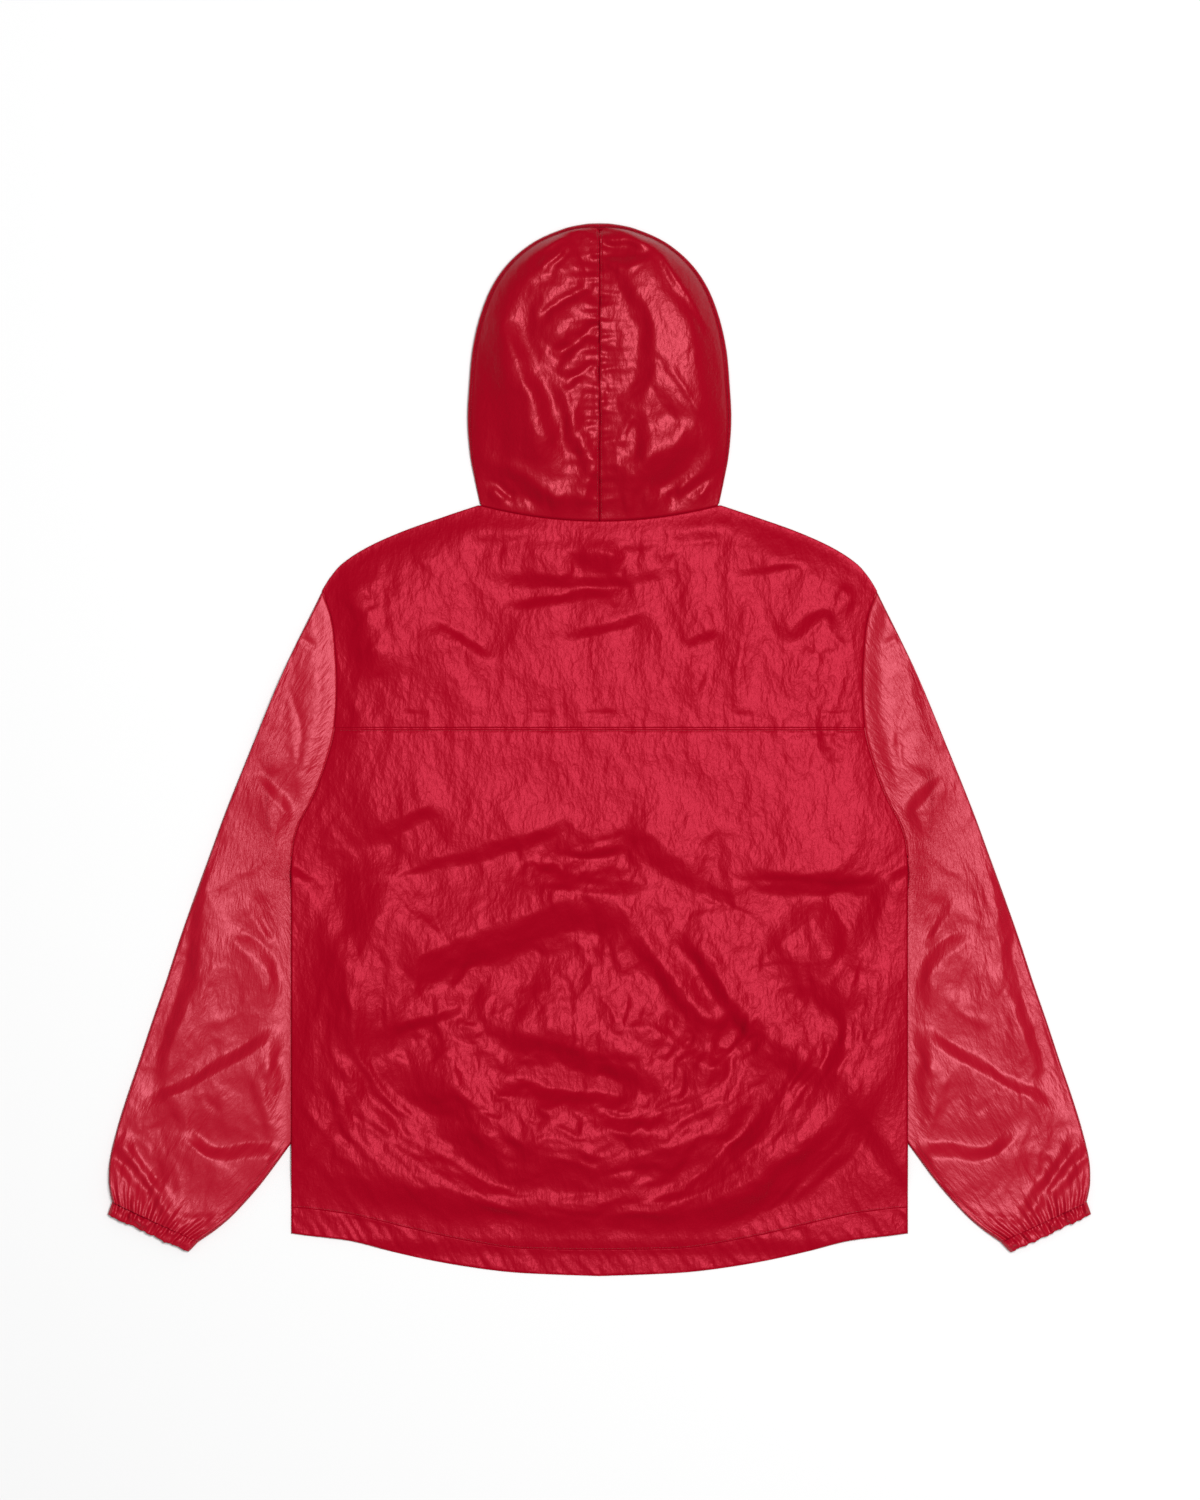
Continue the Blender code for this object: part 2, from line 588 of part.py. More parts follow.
def make_cuff(side_name, side, collection):
    wrist = SLEEVE[-1]
    outer = Vector((wrist.outer_x, wrist.outer_y))
    inner = Vector((wrist.inner_x, wrist.inner_y))
    across = (inner - outer).normalized()
    down = Vector((across.y, -across.x))
    if down.y > 0:
        down = -down
    rings = []
    for row in range(CUFF_ROWS + 1):
        depth = CUFF_SET + (CUFF_DEPTH - CUFF_SET) * row / CUFF_ROWS
        draw_in = CUFF_DRAW_IN * row / CUFF_ROWS
        ring_outer = outer + down * depth + across * draw_in * 0.3
        ring_inner = inner + down * depth - across * draw_in
        parts = evenly(0, 1, 2 * CUFF_WAVES)[1:-1]
        rings.append(flat_ring(ring_outer, ring_inner, CUFF_FOLD, CUFF_WAVE, parts))

    def place(column, row):
        return rings[row][column % len(rings[row])]

    make_piece("cuff_" + side_name, collection, len(rings[0]), CUFF_ROWS, place, side, True)


def hood_rib(index):
    """Points of one rib of half a hood, from the seam over the head to the face opening."""
    row = HOOD[index]
    tip = Vector((row.side_x, row.side_y))
    seam = Vector((SEAM / 2, row.seam_y))
    face = Vector((row.face_x, row.face_y))
    inward = ((seam + face) / 2 - tip).normalized()
    inset = tip + inward * (CLOTH / 2 + row.fold)
    fold_top = CLOTH / 2 + 2 * row.fold
    above_neck = smooth_step(index / 3)
    power = HOOD_NECK_POWER + (HOOD_CROWN_POWER - HOOD_NECK_POWER) * above_neck
    at_neck = index == 0
    points = []
    for step in range(NECK_COLUMNS + 1):
        part = step / NECK_COLUMNS
        x, y = seam.lerp(inset, part)
        if at_neck:
            y = back_top(x) + HOOD_SET
        arch = 1 - part ** power
        crumple = above_neck * smooth_step((1 - part) / 0.25) * fold_height(HOOD_FOLDS, x, y)
        points.append(Vector((x, y, fold_top + (row.peak - fold_top) * arch + crumple)))
    for turn in evenly(0, math.pi, FOLD_FACES)[1:-1]:
        x, y = tip + inward * (CLOTH / 2 + row.fold * (1 - math.sin(turn)))
        points.append(Vector((x, y, CLOTH / 2 + row.fold * (1 + math.cos(turn)))))
    for step in range(FRONT_NECK_COLUMNS + 1):
        part = step / FRONT_NECK_COLUMNS
        x, y = inset.lerp(face, part)
        if at_neck and step > 0:
            y = front_top(x) + SEAM / 2
        points.append(Vector((x, y, CLOTH / 2)))
    return points


def make_hood_half(side_name, side, collection):
    ribs = [hood_rib(index) for index in range(len(HOOD))]

    def place(column, row):
        return ribs[row][column]

    make_piece("hood_" + side_name, collection, len(ribs[0]) - 1, len(ribs) - 1, place, side)


def make_parka():
    for leftover in list(bpy.data.objects):
        bpy.data.objects.remove(leftover)
    parka = bpy.data.collections.new("parka")
    bpy.context.scene.collection.children.link(parka)
    make_back_yoke(parka)
    make_back_lower(parka)
    make_hem_back(parka)
    make_front_zip(parka)
    for side_name, side in (("left", -1), ("right", 1)):
        make_front(side_name, side, parka)
        make_hem_front(side_name, side, parka)
        make_sleeve(side_name, side, parka)
        make_cuff(side_name, side, parka)
        make_hood_half(side_name, side, parka)


make_parka()
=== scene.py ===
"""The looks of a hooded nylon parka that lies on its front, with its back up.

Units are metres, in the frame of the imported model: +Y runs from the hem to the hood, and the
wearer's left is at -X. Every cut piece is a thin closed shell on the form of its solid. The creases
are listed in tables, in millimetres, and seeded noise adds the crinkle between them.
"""

import math
from collections import namedtuple

import bpy
import numpy as np
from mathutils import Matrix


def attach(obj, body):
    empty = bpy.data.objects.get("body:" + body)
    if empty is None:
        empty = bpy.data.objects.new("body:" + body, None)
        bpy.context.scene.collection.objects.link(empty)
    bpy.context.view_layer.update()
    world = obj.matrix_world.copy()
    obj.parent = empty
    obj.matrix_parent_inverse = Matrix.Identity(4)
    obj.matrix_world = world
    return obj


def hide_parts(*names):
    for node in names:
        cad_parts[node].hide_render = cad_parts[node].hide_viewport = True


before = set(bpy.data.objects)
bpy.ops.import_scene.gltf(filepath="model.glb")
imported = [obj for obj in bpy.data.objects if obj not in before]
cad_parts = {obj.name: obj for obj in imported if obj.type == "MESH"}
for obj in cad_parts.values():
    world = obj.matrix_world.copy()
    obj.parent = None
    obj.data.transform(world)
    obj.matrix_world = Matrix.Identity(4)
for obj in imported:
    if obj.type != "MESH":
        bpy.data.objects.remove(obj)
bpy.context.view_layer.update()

MM = 0.001

# ---------------------------------------------------------------- form, as in the solids
CLOTH = 0.0012           # wall of the solids
WALL = 0.0008            # wall of the shells here, below the solids' upper faces
SEAM = 0.0003            # between pieces at a seam
LAYER_GAP = 0.0014       # between the front and the back
PRESSED_GAP = 0.0003     # and where they are sewn together
FULLNESS = 0.0050        # how far the back stands over its fronts
LEAST_LIFT = -0.0007
SIDE_PRESS_PART = 0.93   # of the half width, past which the side seam presses the layers flat
SIDE_PRESS_WIDTH = 0.07
SHOULDER_PRESS = 0.02    # and how far from its seam the shoulder does
FULL_POWER = 12          # how square the back's fullness stands towards its sides
FULL_REACH = 0.04        # and how far from its top and its hem it starts

NECK_HALF = 0.1205
NECK_Y = 0.2285
NECK_RISE = 0.0160
NECK_LIFT = 0.0050       # how far the hood's seam lifts the back's neck
NECK_LIFT_REACH = 0.045
SIDE_PRESS_REACH = 0.02
SHOULDER_PRESS_X = 0.135
SEAM_FADE = 0.03
HEM_DROP = 0.020
HEM_CLEAR = 0.004        # the back comes down to the surface this far past the fronts' hem
FRONT_NECK_Y = 0.1650
FRONT_NECK_POWER = 2.2
SHOULDER_HALF = 0.2775
YOKE_Y = 0.0220
ARMPIT_Y = -0.1095
FRONT_HEM_Y = -0.4835
HEM_DEPTH = 0.026
ZIP_HALF = 0.0120

SLEEVE_FOLD = 0.0013
SLEEVE_LIFT = 0.0030
SLEEVE_SET = -0.0003     # the sleeve laps the body here by this much
BODY_OVER_SLEEVE = 2 * SLEEVE_FOLD + CLOTH + 2 * SEAM
CLIMB = 0.030            # width in which the fronts climb on to the sleeve
SECTION_FILL = 0.93      # part of a section past which it turns towards its inner fold
CLEAR_OF_BODY = 0.003    # how far off the body's edge the sleeve starts to rise
CLEAR_OF_SEAM = 0.001    # and off the armhole seam
CLEAR_FADE = 0.02        # length in which one gives way to the other
SLEEVE_RISE = 0.022      # width in which it rises
CUFF_FADE = 0.022        # length in which its folds fade above the cuff
FOLD_FADE = 0.03         # of the sleeve's width, in which the crinkle fades at its folds
LEAST_SLEEVE_LIFT = -0.0008

CUFF_SET = 0.0001        # from the sleeve
CUFF_FOLD = 0.0030
CUFF_DEPTH = 0.0135
CUFF_DRAW_IN = 0.0045    # how far the cuff narrows on its way down
CUFF_WAVE = 0.0010
CUFF_WAVES = 13
WAVE_ROOM = 1.50         # wave heights by which the folds' middle rises to clear the surface
CUFF_DRAW_OUTER = 0.3    # how much of the draw-in the outer fold takes
CUFF_SMOOTH = 0.6        # how much of the even wave gives way to uneven gathers
CUFF_PUFF = 0.0022
CUFF_PUFF_LEVEL = 0.5
CUFF_PUFF_GAIN = 1.3
CUFF_PUFF_FROM = 0.1     # where the puff starts and how far it runs, as parts of its round
CUFF_PUFF_SPAN = 0.85
CUFF_SCALLOP = 0.0016    # how uneven its lower edge is

HOOD_SET = -0.0004       # and the hood laps the yoke by this much
HOOD_NECK_POWER = 2.0
HOOD_CROWN_POWER = {-1: 6.0, 1: 8.0}  # the right half stands fuller than the left
HOOD_VALLEY = 0.0028     # how far the centre seam draws the hood in
HOOD_VALLEY_HALF = 0.017
HOOD_NECK_RIBS = 3       # in which the section changes from the neck's to the crown's
HOOD_RELIEF_RIBS = 0.6   # in which the creases set in above the neck
HOOD_SIDE_FADE = 0.25    # of the crown's columns, in which they fade at the folded side

# Cuts that the outline doesn't give: widths and lengths
HEM_FLAT = (0.640, 0.026)     # along the hem's curve, and down

# The side seams, and above the armpit the armhole seams
SideRow = namedtuple("SideRow", "y half_width")
BODY_SIDE = [
    SideRow(ARMPIT_Y, 0.3083),
    SideRow(-0.0905, 0.3060),
    SideRow(-0.0725, 0.3000),
    SideRow(-0.0515, 0.2890),
    SideRow(-0.0275, 0.2790),
    SideRow(0.0055, 0.2685),
    SideRow(0.0285, 0.2645),
    SideRow(0.0650, 0.2627),
    SideRow(0.0985, 0.2642),
    SideRow(0.1310, 0.2680),
    SideRow(0.1585, 0.2775),
]
BODY_HALF = BODY_SIDE[0].half_width

ShoulderRow = namedtuple("ShoulderRow", "x y")
SHOULDER = [
    ShoulderRow(NECK_HALF, NECK_Y + NECK_RISE),
    ShoulderRow(0.1535, 0.2335),
    ShoulderRow(0.1985, 0.2175),
    ShoulderRow(0.2335, 0.2015),
    ShoulderRow(0.2575, 0.1855),
    ShoulderRow(0.2695, 0.1715),
    ShoulderRow(SHOULDER_HALF, 0.1585),
]

HemRow = namedtuple("HemRow", "x edge_y stitch_y")
BACK_HEM = [
    HemRow(0.0000, -0.5265, -0.5005),
    HemRow(0.0495, -0.5248, -0.4997),
    HemRow(0.0895, -0.5225, -0.4981),
    HemRow(0.1295, -0.5175, -0.4915),
    HemRow(0.1695, -0.5105, -0.4832),
    HemRow(0.2095, -0.5015, -0.4735),
    HemRow(0.2495, -0.4915, -0.4645),
    HemRow(0.2895, -0.4865, -0.4590),
    HemRow(0.3083, -0.4840, -0.4575),
]

# Sections of the sleeve, from the armhole to the wrist: its two folds, how far the section bows
# towards the body's side, and how gathered it is
SleeveRow = namedtuple("SleeveRow", "outer_x outer_y inner_x inner_y bow gather")
SLEEVE = [
    SleeveRow(0.2775, 0.1585, 0.3087, -0.1095, 0.000, 0.0),
    SleeveRow(0.3150, 0.0815, 0.3078, -0.1240, 0.014, 0.0),
    SleeveRow(0.3475, 0.0040, 0.3064, -0.1380, 0.012, 0.0),
    SleeveRow(0.3730, -0.0590, 0.3036, -0.1500, 0.008, 0.0),
    SleeveRow(0.3900, -0.1050, 0.3000, -0.1650, 0.004, 0.0),
    SleeveRow(0.4060, -0.1490, 0.2850, -0.1870, 0.000, 0.0),
    SleeveRow(0.4205, -0.1905, 0.2700, -0.2200, 0.000, 0.0),
    SleeveRow(0.4340, -0.2320, 0.2605, -0.2630, 0.000, 0.0),
    SleeveRow(0.4475, -0.2710, 0.2640, -0.3080, 0.000, 0.0),
    SleeveRow(0.4605, -0.3105, 0.2810, -0.3560, 0.000, 0.0),
    SleeveRow(0.4720, -0.3440, 0.3095, -0.3965, 0.000, 0.0),
    SleeveRow(0.4820, -0.3760, 0.3385, -0.4355, 0.000, 0.0),
    SleeveRow(0.4898, -0.4080, 0.3640, -0.4640, 0.000, 0.1),
    SleeveRow(0.4912, -0.4300, 0.3810, -0.4790, 0.000, 0.4),
    SleeveRow(0.4895, -0.4430, 0.3930, -0.4875, 0.000, 0.8),
    SleeveRow(0.4875, -0.4515, 0.4005, -0.4925, 0.000, 1.0),
]

# Where the inner fold of the sleeve lies under the body
CoverRow = namedtuple("CoverRow", "y x")
SLEEVE_COVER = [
    CoverRow(-0.4700, 0.3600),
    CoverRow(-0.4355, 0.3250),
    CoverRow(-0.3965, 0.2935),
    CoverRow(-0.3580, 0.2660),
    CoverRow(-0.3150, 0.2520),
    CoverRow(-0.2750, 0.2470),
    CoverRow(-0.2350, 0.2530),
    CoverRow(-0.1950, 0.2710),
    CoverRow(-0.1500, 0.2900),
    CoverRow(-0.1300, 0.3060),
    CoverRow(-0.1100, 0.3450),
    CoverRow(-0.0900, 0.4000),
]

# Ribs of half the hood, from its neck to its top: the folded side, the middle seam, the edge at
# the face, the radius of the fold and the height of the crown
HoodRow = namedtuple("HoodRow", "side_x side_y seam_y face_x face_y fold peak")
HOOD = [
    HoodRow(0.1202, 0.2462, 0.2288, 0.0125, 0.1652, 0.0013, 0.0082),
    HoodRow(0.1252, 0.2695, 0.2620, 0.0240, 0.2150, 0.0024, 0.0175),
    HoodRow(0.1300, 0.2955, 0.2950, 0.0340, 0.2650, 0.0032, 0.0230),
    HoodRow(0.1325, 0.3295, 0.3300, 0.0420, 0.3100, 0.0038, 0.0262),
    HoodRow(0.1308, 0.3650, 0.3620, 0.0450, 0.3500, 0.0040, 0.0285),
    HoodRow(0.1275, 0.4000, 0.3940, 0.0420, 0.3850, 0.0040, 0.0298),
    HoodRow(0.1200, 0.4330, 0.4250, 0.0330, 0.4150, 0.0040, 0.0303),
    HoodRow(0.1080, 0.4630, 0.4530, 0.0180, 0.4380, 0.0040, 0.0298),
    HoodRow(0.0905, 0.4875, 0.4770, SEAM, 0.4520, 0.0040, 0.0280),
    HoodRow(0.0660, 0.5075, 0.4960, SEAM, 0.4780, 0.0042, 0.0245),
    HoodRow(0.0370, 0.5205, 0.5090, SEAM, 0.4980, 0.0050, 0.0200),
    HoodRow(0.0150, 0.5255, 0.5150, SEAM, 0.5080, 0.0056, 0.0165),
    HoodRow(-0.0001, 0.5265, 0.5175, SEAM, 0.5120, 0.0060, 0.0150),
]

# ---------------------------------------------------------------- creases
# Heights and half widths are in millimetres, and so are the paths, in the garment's own frame.
# A half width is that of the side on the left or the right of the path, as one walks along it:
# the narrow side is the steep one.
Crease = namedtuple("Crease", "height left right path")

# A band is a slope between two levels, dark where it turns away from the lamp and bright where it
# faces it. Its path runs down its middle, and the cloth on the left of one who walks along it
# stands higher by its height. Away from the band, both sides return to their level over its reach.
Band = namedtuple("Band", "height width reach path")
BACK_BANDS = [
    # Yoke: below the neck, then down the left and the right shoulder
    Band(4.5, 16, 40, [(-185, 203), (-150, 210), (-90, 217), (0, 220), (90, 218), (150, 212), (190, 203)]),
    Band(4.2, 18, 35, [(-42, 195), (-22, 192), (10, 187), (34, 190)]),
    Band(2.0, 8, 30, [(12, 206), (40, 203), (70, 205)]),
    Band(3.0, 11, 40, [(-128, 176), (-90, 171), (-53, 168), (14, 167), (60, 174), (100, 180)]),
    Band(-2.6, 10, 35, [(-104, 144), (-70, 146), (-40, 150), (-10, 156), (35, 157)]),
    Band(2.2, 9, 30, [(-44, 112), (-20, 117), (7, 121), (29, 127), (56, 141)]),
    Band(-3.0, 12, 40, [(-178, 132), (-160, 122), (-142, 111), (-120, 98), (-98, 84)]),
    Band(5.5, 26, 50, [(-266, 172), (-258, 145), (-247, 115), (-240, 88), (-232, 58)]),
    Band(2.0, 9, 30, [(84, 102), (100, 110), (122, 120)]),
    Band(2.8, 11, 35, [(184, 104), (197, 115), (212, 128), (240, 141)]),
    Band(1.6, 7, 30, [(130, 172), (165, 178), (215, 186)]),
    Band(-2.4, 14, 25, [(236, 166), (252, 160), (266, 146)]),
    # Lower back, left: from the armpit down the side
    Band(3.4, 15, 40, [(-238, -100), (-221, -90), (-195, -75), (-170, -64), (-146, -55)]),
    Band(9.0, 50, 60, [(-192, -98), (-224, -122), (-252, -160), (-270, -210), (-279, -262), (-284, -312)]),
    Band(3.0, 12, 50, [(-220, -130), (-202, -124), (-172, -116), (-120, -105), (-68, -90), (-31, -73),
                       (-5, -60)]),
    Band(-3.0, 14, 40, [(-84, -128), (-50, -133), (-16, -137), (29, -139), (56, -140)]),
    Band(2.0, 8, 25, [(-44, -112), (-20, -107), (14, -101), (34, -98)]),
    Band(-1.8, 7, 25, [(-80, -112), (-60, -118), (-36, -120)]),
    # The great ring: its crown from left to right, and the fold beside its right leg
    Band(6.8, 27, 45, [(-216, -272), (-192, -238), (-165, -217), (-128, -199), (-90, -186), (-46, -170),
                       (0, -171), (30, -186), (52, -212)]),
    Band(3.6, 20, 30, [(-196, -256), (-168, -236), (-128, -216), (-86, -203), (-44, -192), (-10, -190)]),
    Band(4.2, 13, 25, [(20, -178), (44, -204), (70, -238), (104, -277), (146, -304)]),
    Band(-1.5, 13, 16, [(20, -146), (46, -178), (74, -214), (104, -250), (136, -284)]),
    Band(4.2, 12, 22, [(70, -176), (92, -204), (116, -236), (142, -274), (164, -312)]),
    Band(-1.6, 12, 14, [(96, -180), (118, -210), (142, -248), (164, -286)]),
    Band(-2.0, 9, 20, [(48, -262), (72, -288), (98, -306), (130, -318)]),
    Band(2.6, 10, 35, [(-228, -292), (-200, -281), (-175, -272), (-150, -265), (-122, -264)]),
    Band(5.0, 17, 45, [(-136, -268), (-110, -280), (-80, -292), (-46, -303), (0, -318), (44, -336),
                       (84, -352)]),
    Band(-5.0, 21, 45, [(-128, -362), (-100, -352), (-60, -346), (0, -353), (50, -370), (95, -395)]),
    Band(6.8, 32, 50, [(-212, -318), (-187, -350), (-142, -385), (-90, -411), (-16, -424), (59, -418),
                       (115, -396), (144, -356), (162, -318)]),
    Band(3.4, 22, 30, [(-196, -300), (-176, -330), (-140, -356), (-104, -370)]),
    Band(-1.6, 12, 16, [(166, -304), (150, -352), (124, -392), (82, -424), (40, -442)]),
    Band(-3.6, 15, 40, [(-252, -322), (-232, -350), (-195, -390), (-128, -435), (-58, -466)]),
    # Lower back, right
    Band(4.0, 17, 40, [(14, -70), (28, -80), (44, -94), (66, -115), (92, -128), (112, -134)]),
    Band(5.0, 20, 60, [(132, -128), (160, -131), (193, -134), (238, -137), (278, -138), (306, -142)]),
    Band(-7.0, 30, 50, [(206, -140), (228, -165), (244, -195), (244, -235)]),
    Band(4.6, 24, 40, [(186, -226), (206, -240), (238, -262), (262, -268)]),
    Band(4.6, 19, 40, [(150, -296), (178, -308), (208, -323), (246, -342)]),
    Band(-3.4, 17, 30, [(98, -282), (116, -300), (122, -322), (96, -346)]),
    Band(3.6, 14, 35, [(172, -352), (156, -382), (128, -410), (89, -442), (30, -460)]),
    Band(-3.4, 14, 35, [(240, -374), (216, -390), (190, -409), (158, -437), (140, -446)]),
    Band(-7.0, 36, 45, [(296, -300), (278, -340), (250, -374), (208, -418), (150, -452), (90, -468)]),
    # Just above the hem
    Band(6.6, 32, 40, [(-302, -392), (-270, -416), (-225, -440), (-128, -462), (-16, -472), (104, -468),
                       (208, -450), (296, -412)]),
    # Slopes that face the lamp and show bright
    Band(-1.4, 20, 22, [(168, 158), (158, 122), (148, 80), (140, 34)]),
    Band(-1.4, 18, 18, [(234, 124), (226, 92), (216, 46)]),
    Band(-0.9, 12, 16, [(112, 104), (104, 74), (93, 40)]),
    Band(-1.4, 14, 14, [(74, 194), (94, 200), (118, 197)]),
    Band(-1.0, 16, 20, [(-148, 190), (-136, 150), (-130, 118)]),
    Band(-1.1, 14, 18, [(30, 150), (22, 110), (14, 60)]),
    Band(-0.9, 26, 30, [(-120, -20), (-80, -58), (-40, -92)]),
    Band(-1.2, 18, 20, [(262, -10), (268, -50), (276, -96)]),
    Band(-1.2, 16, 20, [(-160, 96), (-128, 60), (-110, 34)]),
]

# Narrow creases of the back, and the short lines of puckers beside its seams
BACK_CREASES = [
    Crease(-0.6, 3, 3, [(-308, -139), (-278, -133), (-247, -127)]),
    Crease(-0.5, 2, 3, [(-276, -89), (-281, -129)]),
    Crease(0.8, 8, 3, [(-257, -128), (-206, -124), (-165, -114)]),
    Crease(-0.7, 3, 4, [(-68, -133), (-36, -137), (20, -142)]),
    Crease(-0.7, 3, 4, [(-60, -118), (-20, -124), (15, -118)]),
    Crease(-0.7, 3, 3, [(-45, -104), (-5, -108), (28, -100)]),
    Crease(-0.6, 3, 3, [(-30, -96), (5, -91), (32, -84)]),
    Crease(-0.8, 3, 4, [(122, -131), (175, -131), (230, -134), (299, -135)]),
    Crease(-0.9, 3, 4, [(93, -139), (110, -147), (145, -163), (158, -171)]),
    Crease(-0.8, 3, 4, [(290, -127), (306, -104)]),
    Crease(-0.6, 3, 3, [(282, -120), (304, -92)]),
    Crease(-0.6, 3, 3, [(-199, 34), (-168, 33)]),
    Crease(-0.6, 3, 3, [(-82, 34), (-44, 35)]),
    Crease(-0.6, 3, 3, [(-17, 34), (20, 33)]),
    Crease(-0.6, 3, 3, [(128, 38), (150, 34), (166, 33)]),
    Crease(-0.6, 3, 3, [(216, 34), (262, 33)]),
    Crease(0.7, 4, 3, [(-265, 19), (-232, 14)]),
    Crease(-1.2, 5, 5, [(226, 17), (250, 4), (266, 14)]),
    Crease(-0.6, 3, 3, [(-218, -196), (-216, -240), (-218, -288)]),
    Crease(0.6, 3, 3, [(-190, -233), (-165, -264)]),
    Crease(-0.8, 3, 3, [(249, -260), (251, -300), (246, -322)]),
    Crease(-0.7, 3, 3, [(263, -242), (259, -276), (266, -306)]),
    Crease(-0.6, 3, 3, [(-296, -335), (-190, -400), (-91, -453)]),
    Crease(0.7, 4, 6, [(-83, -416), (-72, -422), (-59, -424)]),
    Crease(-0.7, 4, 5, [(92, -445), (137, -416), (162, -396)]),
    Crease(0.6, 4, 6, [(149, 152), (140, 98), (136, 33)]),
    Crease(0.6, 4, 6, [(219, 98), (210, 33)]),
    Crease(0.6, 4, 6, [(110, 98), (93, 42)]),
    Crease(0.7, 5, 4, [(-160, 122), (-136, 103)]),
    Crease(-0.8, 4, 4, [(-238, 168), (-212, 118), (-206, 92)]),
    Crease(-0.6, 3, 3, [(-45, 213), (-45, 186)]),
    Crease(-0.6, 3, 3, [(39, 213), (39, 186)]),
    # Dark wedges beside the armholes
    Crease(-1.6, 6, 10, [(-268, -28), (-283, -55), (-298, -82), (-306, -104)]),
    Crease(-1.6, 10, 6, [(266, -4), (277, -24), (289, -54), (302, -88)]),
]

# The sleeve's folds, of the right one: the left one's are their mirror image
SLEEVE_BANDS = [
    Band(-4.2, 12, 26, [(366, -60), (378, -85), (392, -118), (402, -160), (408, -200), (414, -240),
                        (427, -280), (438, -320), (440, -378)]),
    Band(2.0, 10, 20, [(315, 130), (313, 95), (320, 50), (334, 5), (342, -18)]),
    Band(3.6, 11, 22, [(340, -22), (328, -40), (312, -54), (298, -66)]),
    Band(2.6, 9, 20, [(352, -140), (346, -160), (336, -180), (322, -200)]),
    Band(4.2, 12, 26, [(378, -180), (352, -194), (332, -212), (318, -230), (306, -246)]),
    Band(-4.2, 11, 30, [(302, -270), (330, -285), (352, -300), (385, -318), (415, -335), (445, -350),
                        (475, -370)]),
    Band(3.4, 10, 18, [(332, -306), (318, -320), (304, -332)]),
    Band(5.0, 13, 26, [(420, -364), (410, -385), (396, -400), (376, -406), (350, -402), (325, -398),
                       (302, -384)]),
    Band(4.4, 13, 22, [(484, -398), (472, -420), (458, -440), (440, -455)]),
    Band(2.6, 8, 16, [(478, -388), (458, -412), (436, -446)]),
]
SLEEVE_FOLDS = [
    Crease(-0.9, 3, 3, [(325, -369), (308, -371)]),
    Crease(-1.4, 5, 5, [(489, -404), (472, -422), (466, -440), (464, -452)]),
    Crease(3.4, 6, 9, [(486, -386), (470, -406), (452, -430), (436, -452), (424, -472)]),
    Crease(-1.0, 4, 4, [(424, -468), (403, -469), (383, -469)]),
    Crease(-1.0, 4, 4, [(418, -481), (388, -475)]),
    Crease(-1.0, 2.5, 2.5, [(306, -378), (324, -412), (341, -434), (364, -458), (384, -474)]),
]
SLEEVE_CREASES = [
    Crease(-0.9, 3, 5, [(301, 112), (281, 100)]),
    Crease(-0.6, 3, 4, [(310, 60), (300, 20), (304, -20)]),
    Crease(-0.6, 4, 4, [(350, 10), (372, -40), (380, -70)]),
    Crease(0.7, 5, 4, [(330, -100), (345, -120), (362, -128)]),
    Crease(-0.7, 4, 4, [(318, -300), (330, -330), (326, -352)]),
    Crease(0.7, 4, 5, [(350, -240), (362, -262), (392, -276)]),
    Crease(-0.6, 4, 4, [(440, -250), (446, -290), (458, -318)]),
    Crease(-0.6, 4, 4, [(398, -330), (392, -350), (372, -364)]),
]

